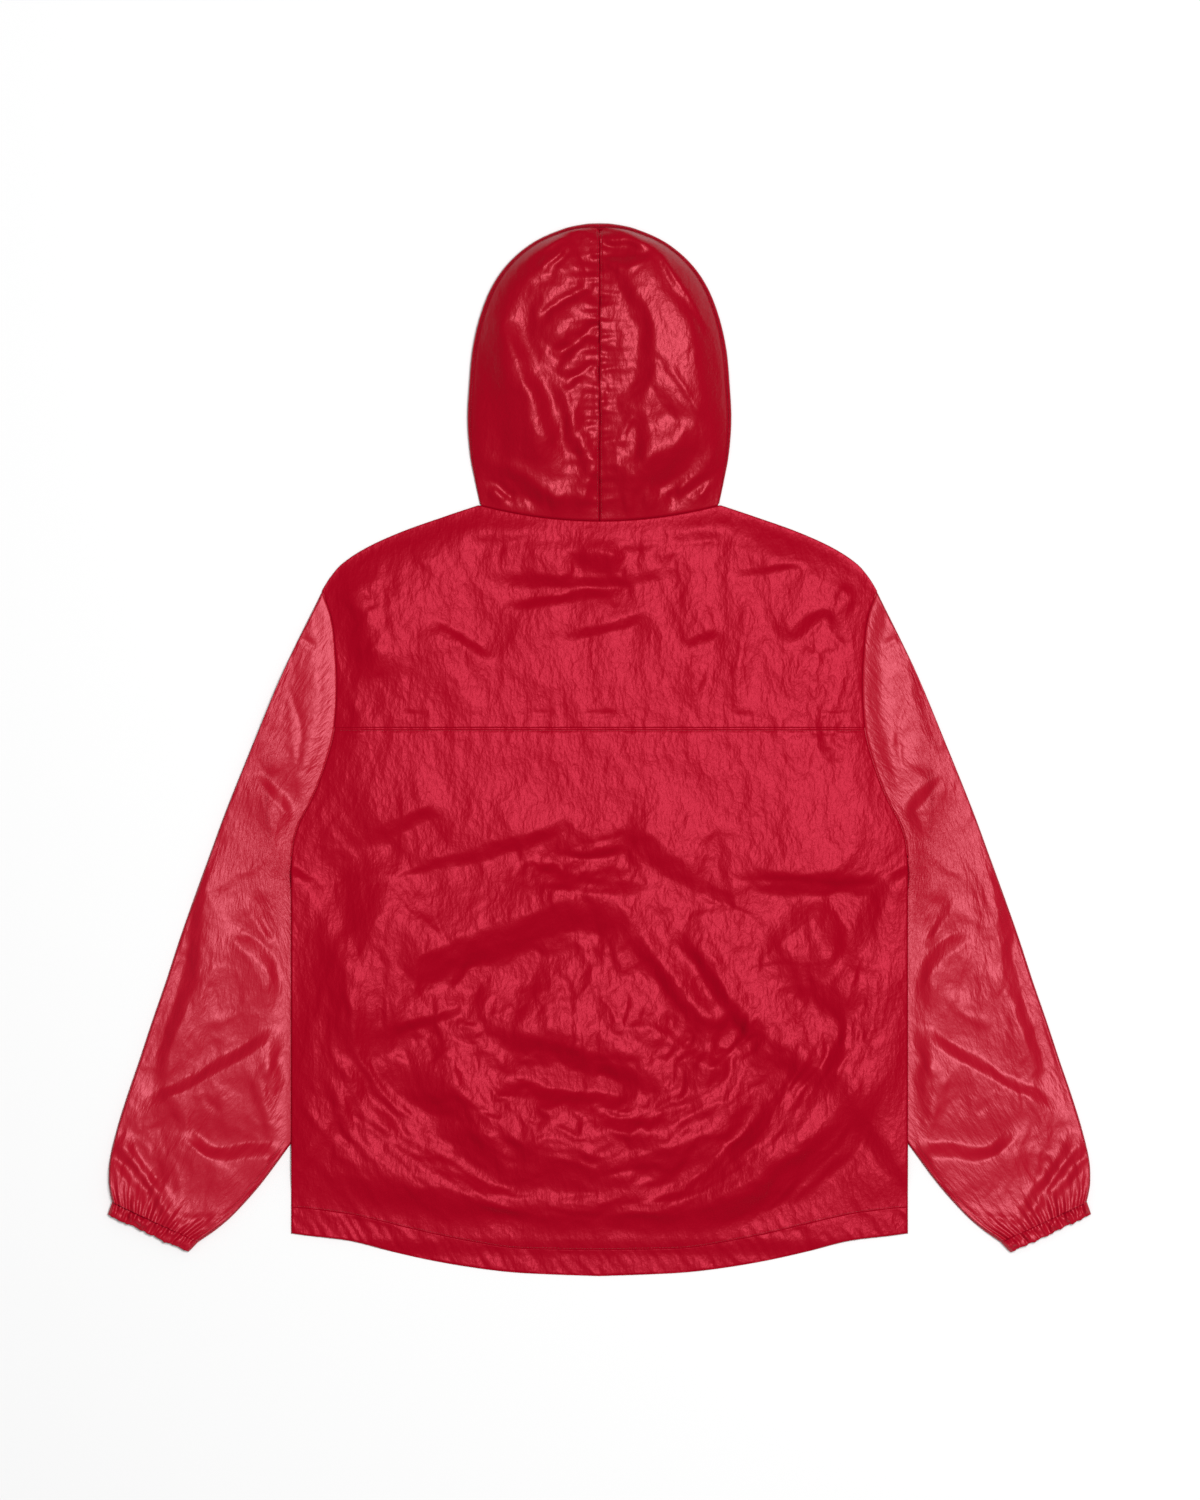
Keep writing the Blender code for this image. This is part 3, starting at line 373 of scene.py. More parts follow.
HOOD_BANDS = [
    # The dark wedge over the right corner, and the dark facet down the left side
    Band(7.0, 25, 18, [(30, 244), (52, 268), (78, 292), (110, 316)]),
    Band(6.0, 36, 25, [(-112, 428), (-104, 380), (-94, 335), (-78, 290), (-50, 262)]),
    Band(-1.2, 16, 20, [(96, 470), (106, 420), (112, 370), (116, 330)]),
]
HOOD_FOLDS = [
    # Left half: the long slanting ridge, the dark hollow beside it, then the ridge by the seam
    Crease(4.2, 14, 20, [(-116, 448), (-100, 415), (-84, 380), (-68, 345), (-54, 312), (-44, 290)]),
    Crease(-3.0, 10, 13, [(-66, 470), (-73, 425), (-66, 385), (-50, 350), (-38, 315), (-22, 275),
                          (-16, 252)]),
    Crease(3.0, 7, 10, [(-46, 372), (-30, 335), (-17, 303), (-9, 278), (-17, 256), (-24, 242)]),
    # The two puffs beside the seam
    Crease(3.4, 18, 16, [(-2, 450), (-26, 430), (-42, 416), (-50, 402)]),
    Crease(-2.4, 5, 6, [(-2, 468), (-28, 452), (-50, 437), (-58, 420)]),
    Crease(-2.6, 6, 5, [(-2, 427), (-22, 407), (-40, 398), (-50, 395)]),
    Crease(2.4, 9, 8, [(-2, 408), (-20, 395), (-34, 382), (-44, 374)]),
    Crease(-2.0, 5, 5, [(-2, 392), (-18, 376), (-32, 366), (-42, 358)]),
    # The swoop over the left corner, and the deep pucker under it
    Crease(2.8, 10, 8, [(-132, 286), (-104, 284), (-76, 274), (-52, 256), (-28, 243)]),
    Crease(-2.8, 5, 5, [(-124, 268), (-106, 266), (-94, 257), (-84, 248)]),
    Crease(2.0, 5, 5, [(-118, 259), (-104, 256), (-94, 247)]),
    # Top left: the dark facet by the seam and the strips that run down from it
    Crease(-2.4, 9, 8, [(-20, 520), (-24, 506), (-12, 490), (-1, 478)]),
    Crease(2.0, 6, 8, [(-30, 516), (-60, 500), (-84, 480)]),
    Crease(1.8, 6, 8, [(-30, 504), (-56, 480), (-78, 462)]),
    Crease(-1.6, 5, 6, [(-28, 500), (-44, 484), (-52, 466)]),
    # Right half: the ridge with its dark inner side, from the crown down
    Crease(4.6, 80, 12, [(8, 492), (32, 470), (50, 440), (58, 406), (56, 376), (46, 350), (38, 330)]),
    Crease(-2.0, 10, 10, [(12, 466), (28, 446), (37, 418), (38, 390), (30, 362), (24, 344)]),
    Crease(2.2, 9, 9, [(40, 352), (50, 330), (52, 304), (44, 280)]),
    Crease(-1.6, 7, 7, [(34, 330), (38, 306), (32, 284)]),
    # The line down the outer panel, and the finer ones inside it
    Crease(-1.8, 5, 7, [(46, 508), (75, 460), (101, 420), (114, 388), (122, 348)]),
    Crease(1.2, 5, 5, [(60, 498), (88, 452), (110, 410)]),
    Crease(-0.9, 4, 4, [(50, 396), (66, 378), (88, 344)]),
    Crease(-0.9, 4, 4, [(46, 366), (64, 342), (80, 322)]),
    Crease(0.9, 4, 5, [(62, 384), (86, 362), (104, 330)]),
    # The swoop over the right corner
    Crease(2.4, 7, 8, [(128, 322), (116, 296), (96, 272), (70, 254), (44, 242)]),
    Crease(-2.0, 5, 6, [(130, 300), (116, 276), (98, 260), (86, 250)]),
    Crease(1.8, 4, 4, [(112, 266), (100, 250)]),
    Crease(-1.8, 4, 4, [(80, 262), (70, 248)]),
    # Top right: a bright fold over a dark one
    Crease(2.6, 8, 7, [(3, 508), (28, 512), (50, 502)]),
    Crease(-2.8, 7, 8, [(3, 500), (28, 500), (52, 490)]),
    Crease(2.0, 6, 5, [(3, 486), (26, 482), (50, 494)]),
]

# Where the cloth is crumpled all over: an oval's middle and radii, and how much
Crumple = namedtuple("Crumple", "x y across along amount")
BACK_CRUMPLES = [
    Crumple(0, -360, 330, 190, 1.0),
    Crumple(-20, -120, 70, 36, 1.0),
    Crumple(30, -260, 120, 60, 0.6),
    Crumple(170, -300, 90, 70, 1.4),
    Crumple(252, -290, 36, 60, 1.2),
    Crumple(-240, -330, 70, 110, 1.2),
    Crumple(-285, -80, 30, 60, 0.7),
    Crumple(110, -145, 60, 30, 0.9),
    Crumple(240, 90, 40, 80, 0.5),
    Crumple(-235, 130, 40, 60, 0.7),
    Crumple(-255, 35, 30, 30, 0.9),
    Crumple(245, 10, 40, 26, 0.9),
    Crumple(0, 200, 160, 40, 0.5),
]
SLEEVE_CRUMPLES = [
    Crumple(395, -200, 30, 110, 0.4),
    Crumple(330, -20, 30, 70, 0.3),
    Crumple(445, -410, 50, 50, 0.6),
    Crumple(320, -350, 40, 40, 0.5),
    Crumple(420, -340, 50, 30, 0.4),
]
HOOD_CRUMPLES = [
    Crumple(-8, 330, 36, 80, 0.9),
    Crumple(12, 320, 40, 90, 0.8),
    Crumple(0, 246, 130, 18, 1.5),
    Crumple(-30, 490, 60, 40, 0.5),
    Crumple(85, 340, 40, 60, 0.25),
]

# ---------------------------------------------------------------- crinkle, puckers and stitches
# A layer of the crinkle: how deep it is on smooth and on crumpled cloth, its cells, and its seed
Crinkle = namedtuple("Crinkle", "smooth crumpled across along seed")
RIDGES = [
    Crinkle(0.0012, 0.0045, 0.048, 0.070, 11),
    Crinkle(0.0003, 0.0018, 0.022, 0.040, 12),
]
FACETS = [
    Crinkle(0.00040, 0.0042, 0.036, 0.056, 13),
    Crinkle(0.00025, 0.0017, 0.017, 0.030, 14),
    Crinkle(0.00016, 0.0010, 0.0085, 0.016, 15),
]
RIDGE_LEVEL = 0.35       # the height of a ridge's crest over the layer's mean
RIDGE_ROUND = 0.01       # and how rounded the crest is
FACET_SHARE = 0.5        # of its layer's depth that a facet rises and falls by
NOISE_CELLS = 256        # after so many cells the noise repeats
NOISE_GAIN = 1.6         # brings the noise to about -1 to 1
HALF_CELL = 0.5          # the noise is nothing at whole numbers, so a line is read beside them
FACET_MARGIN = 0.05      # a facet's middle stays this far inside its cell
FACET_LEVEL = 0.5        # how far from its middle a facet comes down to its mean height
OUT_OF_REACH = 4.0       # further than any facet's middle lies
CRINKLE_SHIFTS = ((0.009, 0.040), (0.003, 0.013))  # how far points are moved about, in which cells
CREASE_SHIFTS = ((0.0028, 0.055), (0.0012, 0.017))
CREASE_CELL = 0.028      # over which a crease's width changes
CREASE_UNEVEN = 0.30     # and by how much of it
CREASE_FADE = 0.25       # part of its length in which a crease fades in
CREASE_END = 0.15        # part of that rise at which it starts
CREASE_REACH = 2.2       # half widths past which a crease is nothing
BAND_DEPTH = 1.35        # the bands, as parts of the heights and widths in their tables
BAND_WIDTH = 1.20
BAND_FADE = 0.30         # part of its length in which a band fades in
BAND_STEEP = 1.25        # how much steeper a band is in its middle than on the whole
BAND_SEED = 5
PATH_STEPS = 4           # to each row of a path

# On the lower back the crinkle runs round a middle, and above it runs upright
ROUND_X = -0.010
ROUND_Y = -0.220
ROUND_RADIUS = 0.150
ROUND_TOP = -0.110
ROUND_FADE = 0.070
ROUND_CLEAR = 0.060      # no crinkle runs round nearer to the middle than this

# Puckers beside a seam: their depth, the width of one, how far they reach, and the seed
Pucker = namedtuple("Pucker", "depth cell reach seed")
YOKE_PUCKERS = Pucker(0.0005, 0.010, 0.012, 21)
HEM_PUCKERS = Pucker(0.0006, 0.009, 0.012, 22)
CUFF_PUCKERS = Pucker(0.0015, 0.011, 0.016, 45)
ARMHOLE_PUCKERS = Pucker(0.0006, 0.010, 0.012, 47)
CROWN_PUCKERS = Pucker(0.0026, 0.008, 0.015, 74)
NECK_PUCKERS = Pucker(0.0016, 0.010, 0.014, 77)
PUCKER_LENGTH = 6        # times its width
PUCKER_SLANT = 0.5       # of those above the hem

# Other noise: its cells across and along, and its seed
Cell = namedtuple("Cell", "across along seed")
HEM_CREASES = Cell(0.010, 0.045, 31)
HEM_COARSE = 2.3         # how much wider the coarse ones are
HEM_COARSE_SHARE = 0.5
HEM_COARSE_SEED = 32
HEM_RELIEF = 0.0012
HEM_RIDGE_LEVEL = 0.3
HEM_SLANT = 0.6
HEM_FADE = 0.005         # below the stitch line
FRONT_FOLDS = Cell(0.034, 0.052, 51)
FRONT_CREASES = Cell(0.015, 0.023, 52)
FRONT_CREASE_SHARE = 0.5
FRONT_LEVEL = 0.4
FRONT_RELIEF = 0.0011    # how far the fronts' creases rise from the surface
FRONT_FADE = 0.02        # from the fronts' edges

# The cuffs' gathers: cells to a wave of the elastic, cells to the cuff's depth, and the seed
Gather = namedtuple("Gather", "to_wave to_depth seed")
CUFF_GATHERS = Gather(0.9, 1.2, 91)
CUFF_CREASES = Gather(2.3, 2.0, 92)
CUFF_CREASE_SHARE = 0.4
CUFF_SIDE_SHIFT = 3      # cells between the two cuffs' gathers

# ---------------------------------------------------------------- grids
BODY_STEP = 0.0022       # spacing of the grid on the back
HOOD_STEP = 0.0019
SLEEVE_STEP = 0.0023
UNDER_STEP = 0.0060      # and on hidden layers
FRONT_STEP = 0.0042
HEM_ROWS = 8             # of the fronts' hems
ZIP_COLUMNS = 8
ZIP_ROWS = 160
LINE_POINTS = 400        # on which a line of stitches lies
HOOD_CROWN_COLUMNS = 70
HOOD_UNDER_COLUMNS = 20
LAYER_WIDTH = 0.250      # of the sleeve's layers, for the count of their columns
PAST_END = 1e-6          # where one more ring makes the count of the sleeve's rings odd
EDGE_STEPS = (0.0, 0.0004, 0.0009, 0.0016, 0.0023, 0.0030, 0.0037, 0.0050)  # from a sewn edge
RING_STEPS = (0.0004, 0.0009, 0.0016, 0.0026)  # from the armhole seam
FOLD_STEPS = 8           # faces round a folded edge
CUFF_ROWS = 14

# Folded and sewn edges
SEAM_ROLL = 0.0007       # radius of an edge that is turned under at a seam
SHOULDER_ROLL = 1.5 * SEAM_ROLL  # width in which the back's neck and shoulder edge does so
SIDE_WRAP = 0.0022       # how far the back turns down round the front at its sides
SIDE_ROLL = 0.0020       # width in which it does so
LAP = 0.0002             # how far the shells reach past the line of a seam
STITCH_INSET = 0.0030    # from a seam to the stitch line beside it
CROWN_INSET = 0.7 * STITCH_INSET
STITCH_GROOVE = 0.0005
GROOVE_WIDTH = 0.0008
STITCH_PITCH = 0.0030
STITCH_LENGTH = 0.0023
STITCH_WIDTH = 0.0005
STITCH_HEIGHT = 0.0004
UNDERARM_PLACE = 0.965   # the topstitched seam, as a place across the sleeve's upper layer
UNDERARM_TOP = -0.34     # the stitches show below this
BAR_TOP = 0.5            # how wide the top of a stitch or tooth is, as a part of its foot

# The zip's teeth
TOOTH_PITCH = 0.0016
TOOTH_WIDTH = 0.0022
TOOTH_HEIGHT = 0.0008
TOOTH_MESH = 0.2         # how far each tooth reaches past the middle, as a part of its width
TOOTH_FILL = 0.8         # its length, as a part of the pitch
TOOTH_CLEAR = 0.0001     # from the surface

# Hidden layers
UNDER_FACE = 0.0002      # how far their upper faces lie below the solids'
HIDDEN_GRAIN = 0.5       # their place in the material's noise

# ---------------------------------------------------------------- finishes
# The cloth's colour, the tint and strength of its gloss, and the depth and shift of its bump
Nylon = namedtuple("Nylon", "name colour tint roughness gloss bump shift")
RED = (0.288, 0.0003, 0.0090)
# Painted light: the sleeves are the same nylon as the body and hood, given a paler red that stands in for
# the light their level cloth catches
SLEEVE_RED_PAINTED_LIGHTER = (0.345, 0.0012, 0.0130)
# Painted highlight colour: the three copies of the one nylon get their own gloss tints, whiter on the hood
# and whitest on the sleeves, so that each piece's highlights come out as pale as that piece looks under
# the lamp
BODY_NYLON = Nylon("nylon_body", RED, (1, 0.11, 0.19), 0.33, 0.30, 0.00040, 1.0)
SLEEVE_NYLON_PAINTED_LIGHTER = Nylon("nylon_sleeve_painted_lighter", SLEEVE_RED_PAINTED_LIGHTER, (1, 0.33, 0.41), 0.35, 0.46, 0.00030, 2.0)
HOOD_NYLON = Nylon("nylon_hood", RED, (1, 0.20, 0.27), 0.30, 0.33, 0.00034, 3.0)
NYLON_IOR = 1.5

# Layers of the bump: cells to a metre, how long a cell is to its width, and share of the depth
Bump = namedtuple("Bump", "scale stretch share")
FACET_BUMPS = (Bump(120, 1.8, 1.0), Bump(300, 2.0, 0.45))
STREAK_BUMP = Bump(500, 1.5, 0.5)
STREAK_DETAIL = 3.0
STREAK_DISTORTION = 0.6
FACET_SHIFT = (1.2, 1.2, 0)  # how far noise moves the facets about, in cells
FACET_SHIFT_CELLS = 0.6      # and how many cells of that noise there are to a facet

# Thread and what is made like it, with ribs to a metre
Thread = namedtuple("Thread", "name colour roughness ribs")
SEWING_THREAD = Thread("sewing_thread", (0.26, 0.001, 0.010), 0.45, 900)
WOVEN_TAPE = Thread("woven_tape", (0.30, 0.006, 0.018), 0.6, 400)
MOULDED_TEETH = Thread("moulded_teeth", (0.28, 0.004, 0.014), 0.3, 60)
RIB_BUMP = 0.0002

# ---------------------------------------------------------------- stage, lamps and camera
PHOTO_HEIGHT = 1500
METRES_PER_PIXEL = 0.001
CAMERA_HEIGHT = 8.0
CAMERA_PLACE = (0.0005, -0.0005, CAMERA_HEIGHT)
CAMERA_SENSOR = 36.0
CAMERA_REACH = 50
FLOOR_SIZE = 12
FLOOR_DROP = 0.0005
FLOOR_GREY = 0.78
DOME_SIDE = 0.26         # how bright the dome is near the floor
DOME_TOP = 1.0           # and how much more so overhead
DOME_POWER = 10.0
LAMP_WATTS = 350.0
LAMP_SIZE = 1.6
LAMP_PLACE = (0.95, 0.6, 6.0)


def smooth_step(value):
    """Rises from 0 to 1 with level ends as the value goes from 0 to 1."""
    value = np.clip(value, 0.0, 1.0)
    return value * value * (3 - 2 * value)


def spline(table, at):
    """Reads a table's rows, which lie one unit apart, on a smooth curve."""
    table = np.asarray(table, float)
    at = np.asarray(at, float)
    slopes = np.gradient(table, axis=0)
    low = np.clip(np.floor(at).astype(int), 0, len(table) - 2)
    part = (at - low).reshape(at.shape + (1,) * (table.ndim - 1))
    rising = part * part * (3 - 2 * part)
    value = table[low] * (1 - rising) + table[low + 1] * rising
    value = value + slopes[low] * part * (1 - part) ** 2
    return value + slopes[low + 1] * part ** 2 * (part - 1)


def read_row(rows, at, column):
    """Reads a column on a smooth curve through the rows, at places in their first column."""
    places = np.array([row[0] for row in rows])
    values = np.array([getattr(row, column) for row in rows])
    at = np.clip(at, places[0], places[-1])
    before = np.maximum(np.arange(len(rows)) - 1, 0)
    after = np.minimum(np.arange(len(rows)) + 1, len(rows) - 1)
    slopes = (values[after] - values[before]) / (places[after] - places[before])
    low = np.clip(np.searchsorted(places, at, side="right") - 1, 0, len(rows) - 2)
    width = places[low + 1] - places[low]
    part = (at - places[low]) / width
    rising = smooth_step(part)
    start_pull = part * (1 - part) ** 2 * width * slopes[low]
    end_pull = part ** 2 * (part - 1) * width * slopes[low + 1]
    return values[low] * (1 - rising) + values[low + 1] * rising + start_pull + end_pull


def gradient_noise(x, y, seed):
    """Smooth seeded noise of about -1 to 1, with one cell to a unit."""
    cells = NOISE_CELLS
    angles = np.random.default_rng(seed).uniform(0, 2 * math.pi, (cells, cells))
    cell_x = np.floor(x).astype(int)
    cell_y = np.floor(y).astype(int)
    part_x = x - cell_x
    part_y = y - cell_y

    def corner(step_x, step_y):
        angle = angles[(cell_x + step_x) % cells, (cell_y + step_y) % cells]
        return np.cos(angle) * (part_x - step_x) + np.sin(angle) * (part_y - step_y)

    fade_x = part_x ** 3 * (part_x * (part_x * 6 - 15) + 10)
    fade_y = part_y ** 3 * (part_y * (part_y * 6 - 15) + 10)
    low = corner(0, 0) * (1 - fade_x) + corner(1, 0) * fade_x
    high = corner(0, 1) * (1 - fade_x) + corner(1, 1) * fade_x
    return NOISE_GAIN * (low * (1 - fade_y) + high * fade_y)


def facet_noise(x, y, seed):
    """Seeded facets of about -1 to 1: low cones with creases where they meet, one to a unit."""
    cells = NOISE_CELLS
    random = np.random.default_rng(seed)
    middle_x = random.uniform(FACET_MARGIN, 1 - FACET_MARGIN, (cells, cells))
    middle_y = random.uniform(FACET_MARGIN, 1 - FACET_MARGIN, (cells, cells))
    cell_x = np.floor(x).astype(int)
    cell_y = np.floor(y).astype(int)
    nearest = np.full(np.shape(x), OUT_OF_REACH)
    for step_x in (-1, 0, 1):
        for step_y in (-1, 0, 1):
            at_x = cell_x + step_x
            at_y = cell_y + step_y
            off_x = at_x + middle_x[at_x % cells, at_y % cells] - x
            off_y = at_y + middle_y[at_x % cells, at_y % cells] - y
            nearest = np.minimum(nearest, np.hypot(off_x, off_y))
    return NOISE_GAIN * (FACET_LEVEL - nearest)


def cell_noise(cell, across, along):
    """Smooth noise with the cells and the seed of a row."""
    return gradient_noise(across / cell.across, along / cell.along, cell.seed)


def shift_about(x, y, seed, shifts):
    """Moves points about by smooth noise, so that what is drawn at them comes out uneven."""
    for amount, cell in shifts:
        shift_x = amount * gradient_noise(x / cell, y / cell, seed)
        shift_y = amount * gradient_noise(x / cell, y / cell, seed + 1)
        x = x + shift_x
        y = y + shift_y
    return x, y


def beside_path(path, x, y, reach):
    """Points near a path: which they are, how far off it on its left, and how far along it."""
    path = np.array(path, float) * MM
    if len(path) > 2:
        path = spline(path, np.linspace(0, len(path) - 1, PATH_STEPS * (len(path) - 1) + 1))
    near = (x > path[:, 0].min() - reach) & (x < path[:, 0].max() + reach)
    near &= (y > path[:, 1].min() - reach) & (y < path[:, 1].max() + reach)
    near_x = x[near]
    near_y = y[near]
    best = np.full(near_x.shape, np.inf)
    side = np.zeros(near_x.shape)
    along = np.zeros(near_x.shape)
    passed = 0.0
    for start, end in zip(path, path[1:]):
        length = math.dist(start, end)
        run = (end - start) / length
        off_x = near_x - start[0]
        off_y = near_y - start[1]
        part = np.clip(off_x * run[0] + off_y * run[1], 0, length)
        distance = np.hypot(off_x - run[0] * part, off_y - run[1] * part)
        closer = distance < best
        best[closer] = distance[closer]
        side[closer] = (off_y * run[0] - off_x * run[1])[closer]
        along[closer] = passed + part[closer]
        passed += length
    return near, np.where(side > 0, best, -best), along / passed


def uneven_places(x, y, seed):
    """Points moved about a little, and a factor for widths there, so that no crease is even."""
    x, y = shift_about(x, y, seed, CREASE_SHIFTS)
    return x, y, 1 + CREASE_UNEVEN * gradient_noise(x / CREASE_CELL, y / CREASE_CELL, seed + 2)


def crease_height(creases, x, y, seed):
    """Adds up the creases at points, each fading towards its two ends."""
    x, y, uneven = uneven_places(x, y, seed)
    total = np.zeros(np.shape(x))
    for crease in creases:
        reach = CREASE_REACH * max(crease.left, crease.right) * MM
        near, off, along = beside_path(crease.path, x, y, reach)
        half = np.where(off > 0, crease.left, crease.right) * MM * uneven[near]
        fade = smooth_step(np.minimum(along, 1 - along) / CREASE_FADE + CREASE_END)
        total[near] += crease.height * MM * fade * np.exp(-(off / half) ** 2)
    return total


def band_height(bands, x, y):
    """Adds up the bands at points: a slope across each, and a slow return on both its sides."""
    x, y, uneven = uneven_places(x, y, BAND_SEED)
    total = np.zeros(np.shape(x))
    for band in bands:
        half = BAND_WIDTH * band.width * MM / 2
        reach = CREASE_REACH * (band.reach + band.width) * MM
        near, off, along = beside_path(band.path, x, y, reach)
        part = np.clip(off / (half * uneven[near]), -1, 1)
        slope = part * (BAND_STEEP - (BAND_STEEP - 1) * part ** 2)
        back = np.exp(-(np.maximum(np.abs(off) - half, 0) / (band.reach * MM)) ** 2)
        fade = smooth_step(np.minimum(along, 1 - along) / BAND_FADE)
        total[near] += BAND_DEPTH * band.height * MM / 2 * fade * slope * back
    return total


def crumple_amount(crumples, x, y):
    """How crumpled the cloth is at points: most in the middle of each oval."""
    total = np.zeros(np.shape(x))
    for oval in crumples:
        off_x = (x / MM - oval.x) / oval.across
        off_y = (y / MM - oval.y) / oval.along
        total = np.maximum(total, oval.amount * np.exp(-(off_x ** 2 + off_y ** 2)))
    return total


def crinkle_height(across, along, crumpled, seed=0):
    """Creased nylon: ridges, and flat facets with sharp edges that get finer and finer."""
    across, along = shift_about(across, along, seed + 1, CRINKLE_SHIFTS)
    total = np.zeros(np.shape(across))
    for layer in RIDGES:
        noise = gradient_noise(across / layer.across, along / layer.along, seed + layer.seed)
        depth = layer.smooth + (layer.crumpled - layer.smooth) * crumpled
        total += depth * (RIDGE_LEVEL - np.sqrt(noise ** 2 + RIDGE_ROUND))
    for layer in FACETS:
        noise = facet_noise(across / layer.across, along / layer.along, seed + layer.seed)
        depth = layer.smooth + (layer.crumpled - layer.smooth) * crumpled
        total += depth * FACET_SHARE * noise
    return total


def pucker_height(puckers, distance, along, side=0):
    """Short puckers square to a seam, which fade away from it. The side tells twins apart."""
    across = distance / (PUCKER_LENGTH * puckers.cell) + HALF_CELL
    noise = gradient_noise(along / puckers.cell, across, puckers.seed + side)
    return puckers.depth * noise * np.exp(-distance / puckers.reach)


# ---------------------------------------------------------------- the form of the body
def half_width(y):
    """Half width of the body at a height, at its side seam or armhole seam."""
    return read_row(BODY_SIDE, y, "half_width")


def back_top(x):
    """The back's upper edge: the neck seam, then the shoulder line."""
    x = np.abs(x)
    at_neck = NECK_Y + NECK_RISE * (x / NECK_HALF) ** 2
    return np.where(x < NECK_HALF, at_neck, read_row(SHOULDER, x, "y"))


def front_top(x):
    """The fronts' upper edge: the neckline, then the shoulder line."""
    x = np.abs(x)
    drop = NECK_Y + NECK_RISE - FRONT_NECK_Y
    at_neck = FRONT_NECK_Y + drop * np.minimum(x / NECK_HALF, 1) ** FRONT_NECK_POWER
    return np.where(x < NECK_HALF, at_neck, read_row(SHOULDER, x, "y"))


def front_height(x, y):
    """The fronts lie on the surface, and climb on to the sleeve that passes under them."""
    cover = read_row(SLEEVE_COVER, y, "x")
    climb = smooth_step((np.abs(x) - cover + CLIMB) / CLIMB)
    return CLOTH / 2 + BODY_OVER_SLEEVE * climb


def back_height(x, y, relief):
    """The middle of the back's cloth, which is pressed flat at its side and shoulder seams."""
    edge_part = np.abs(x) / half_width(y)
    from_top = back_top(x) - y
    from_hem = y - read_row(BACK_HEM, np.abs(x), "stitch_y")
    by_side = smooth_step((edge_part - SIDE_PRESS_PART) / SIDE_PRESS_WIDTH)
    by_side *= smooth_step((ARMPIT_Y - SIDE_PRESS_REACH - y) / SEAM_FADE)
    by_shoulder = smooth_step(1 - from_top / SHOULDER_PRESS)
    by_shoulder *= smooth_step((np.abs(x) - SHOULDER_PRESS_X) / SEAM_FADE)
    gap = LAYER_GAP + (PRESSED_GAP - LAYER_GAP) * np.maximum(by_side, by_shoulder)
    inside = (1 - np.minimum(edge_part, 1.0) ** FULL_POWER) * smooth_step(from_top / FULL_REACH)
    inside *= smooth_step(from_hem / FULL_REACH)
    lift = inside * (FULLNESS + band_height(BACK_BANDS, x, y) + relief)
    at_neck = np.maximum(0.0, 1 - (x / NECK_HALF) ** 2)
    lift = lift + NECK_LIFT * at_neck * np.exp(-(from_top / NECK_LIFT_REACH) ** 2)
    on_front = front_height(x, y) + CLOTH + gap + np.maximum(lift, LEAST_LIFT)
    past_front = smooth_step((FRONT_HEM_Y - HEM_CLEAR - y) / HEM_DROP)
    return on_front + (CLOTH / 2 - on_front) * past_front


def edge_roll(distance, roll, drop):
    """How far an edge that is turned under has come down, at a distance from it."""
    part = np.clip(1 - distance / roll, 0, 1)
    return drop * (1 - np.sqrt(1 - part ** 2))


# ---------------------------------------------------------------- shells
def add_object(name, data):
    """Puts a mesh, lamp or camera into the scene as an object."""
    thing = bpy.data.objects.new(name, data)
    bpy.context.scene.collection.objects.link(thing)
    return thing


def spaced(start, end):
    """Places from start to end, close together at its sewn edges and even between; an odd count."""
    length = end - start
    low = EDGE_STEPS
    high = [length - place for place in reversed(EDGE_STEPS)]
    count = max(2, round((high[0] - low[-1]) / BODY_STEP))
    count += count % 2
    middle = np.linspace(low[-1], high[0], count + 1)
    return start + np.concatenate([low[:-1], middle, high[1:]])


def grid_normals(points, is_tube):
    """Normals at the points of a grid, by their neighbours."""
    if is_tube:
        across = np.roll(points, -1, axis=1) - np.roll(points, 1, axis=1)
    else:
        across = np.gradient(points, axis=1)
    along = np.gradient(points, axis=0)
    normals = np.cross(across, along)
    return normals / np.maximum(np.linalg.norm(normals, axis=2, keepdims=True), 1e-12)


def make_shell(name, points, grain, material, is_tube=False):
    """Makes a closed shell: the points are its upper face, and its lower one is half as fine."""
    rows, columns = points.shape[:2]
    under = (points - grid_normals(points, is_tube) * WALL)[::2, ::2]
    under_grain = grain[::2, ::2]
    low_rows, low_columns = under.shape[:2]
    upper = np.arange(rows * columns).reshape(rows, columns)
    lower = rows * columns + np.arange(low_rows * low_columns).reshape(low_rows, low_columns)
    if is_tube:
        upper = np.concatenate([upper, upper[:, :1]], axis=1)
        lower = np.concatenate([lower, lower[:, :1]], axis=1)

    def quads(index):
        return np.stack([index[:-1, :-1], index[:-1, 1:], index[1:, 1:], index[1:, :-1]], axis=-1)

    faces = quads(upper).reshape(-1, 4).tolist()
    faces += quads(lower)[..., ::-1].reshape(-1, 4).tolist()

    def rim(fine, coarse):
        for step in range(len(coarse) - 1):
            first = 2 * step
            faces.append([int(coarse[step]), int(coarse[step + 1]), int(fine[first + 2]),
                          int(fine[first + 1]), int(fine[first])])

    rim(upper[0], lower[0])
    rim(upper[-1, ::-1], lower[-1, ::-1])
    if not is_tube:
        rim(upper[::-1, 0], lower[::-1, 0])
        rim(upper[:, -1], lower[:, -1])
    mesh = bpy.data.meshes.new(name)
    vertices = np.concatenate([points.reshape(-1, 3), under.reshape(-1, 3)])
    mesh.from_pydata(vertices.tolist(), [], faces)
    attribute = mesh.attributes.new("grain", "FLOAT_VECTOR", "POINT")
    values = np.concatenate([grain.reshape(-1, 3), under_grain.reshape(-1, 3)])
    attribute.data.foreach_set("vector", values.astype(np.float32).ravel())
    mesh.shade_smooth()
    mesh.materials.append(material)
    return add_object(name, mesh)


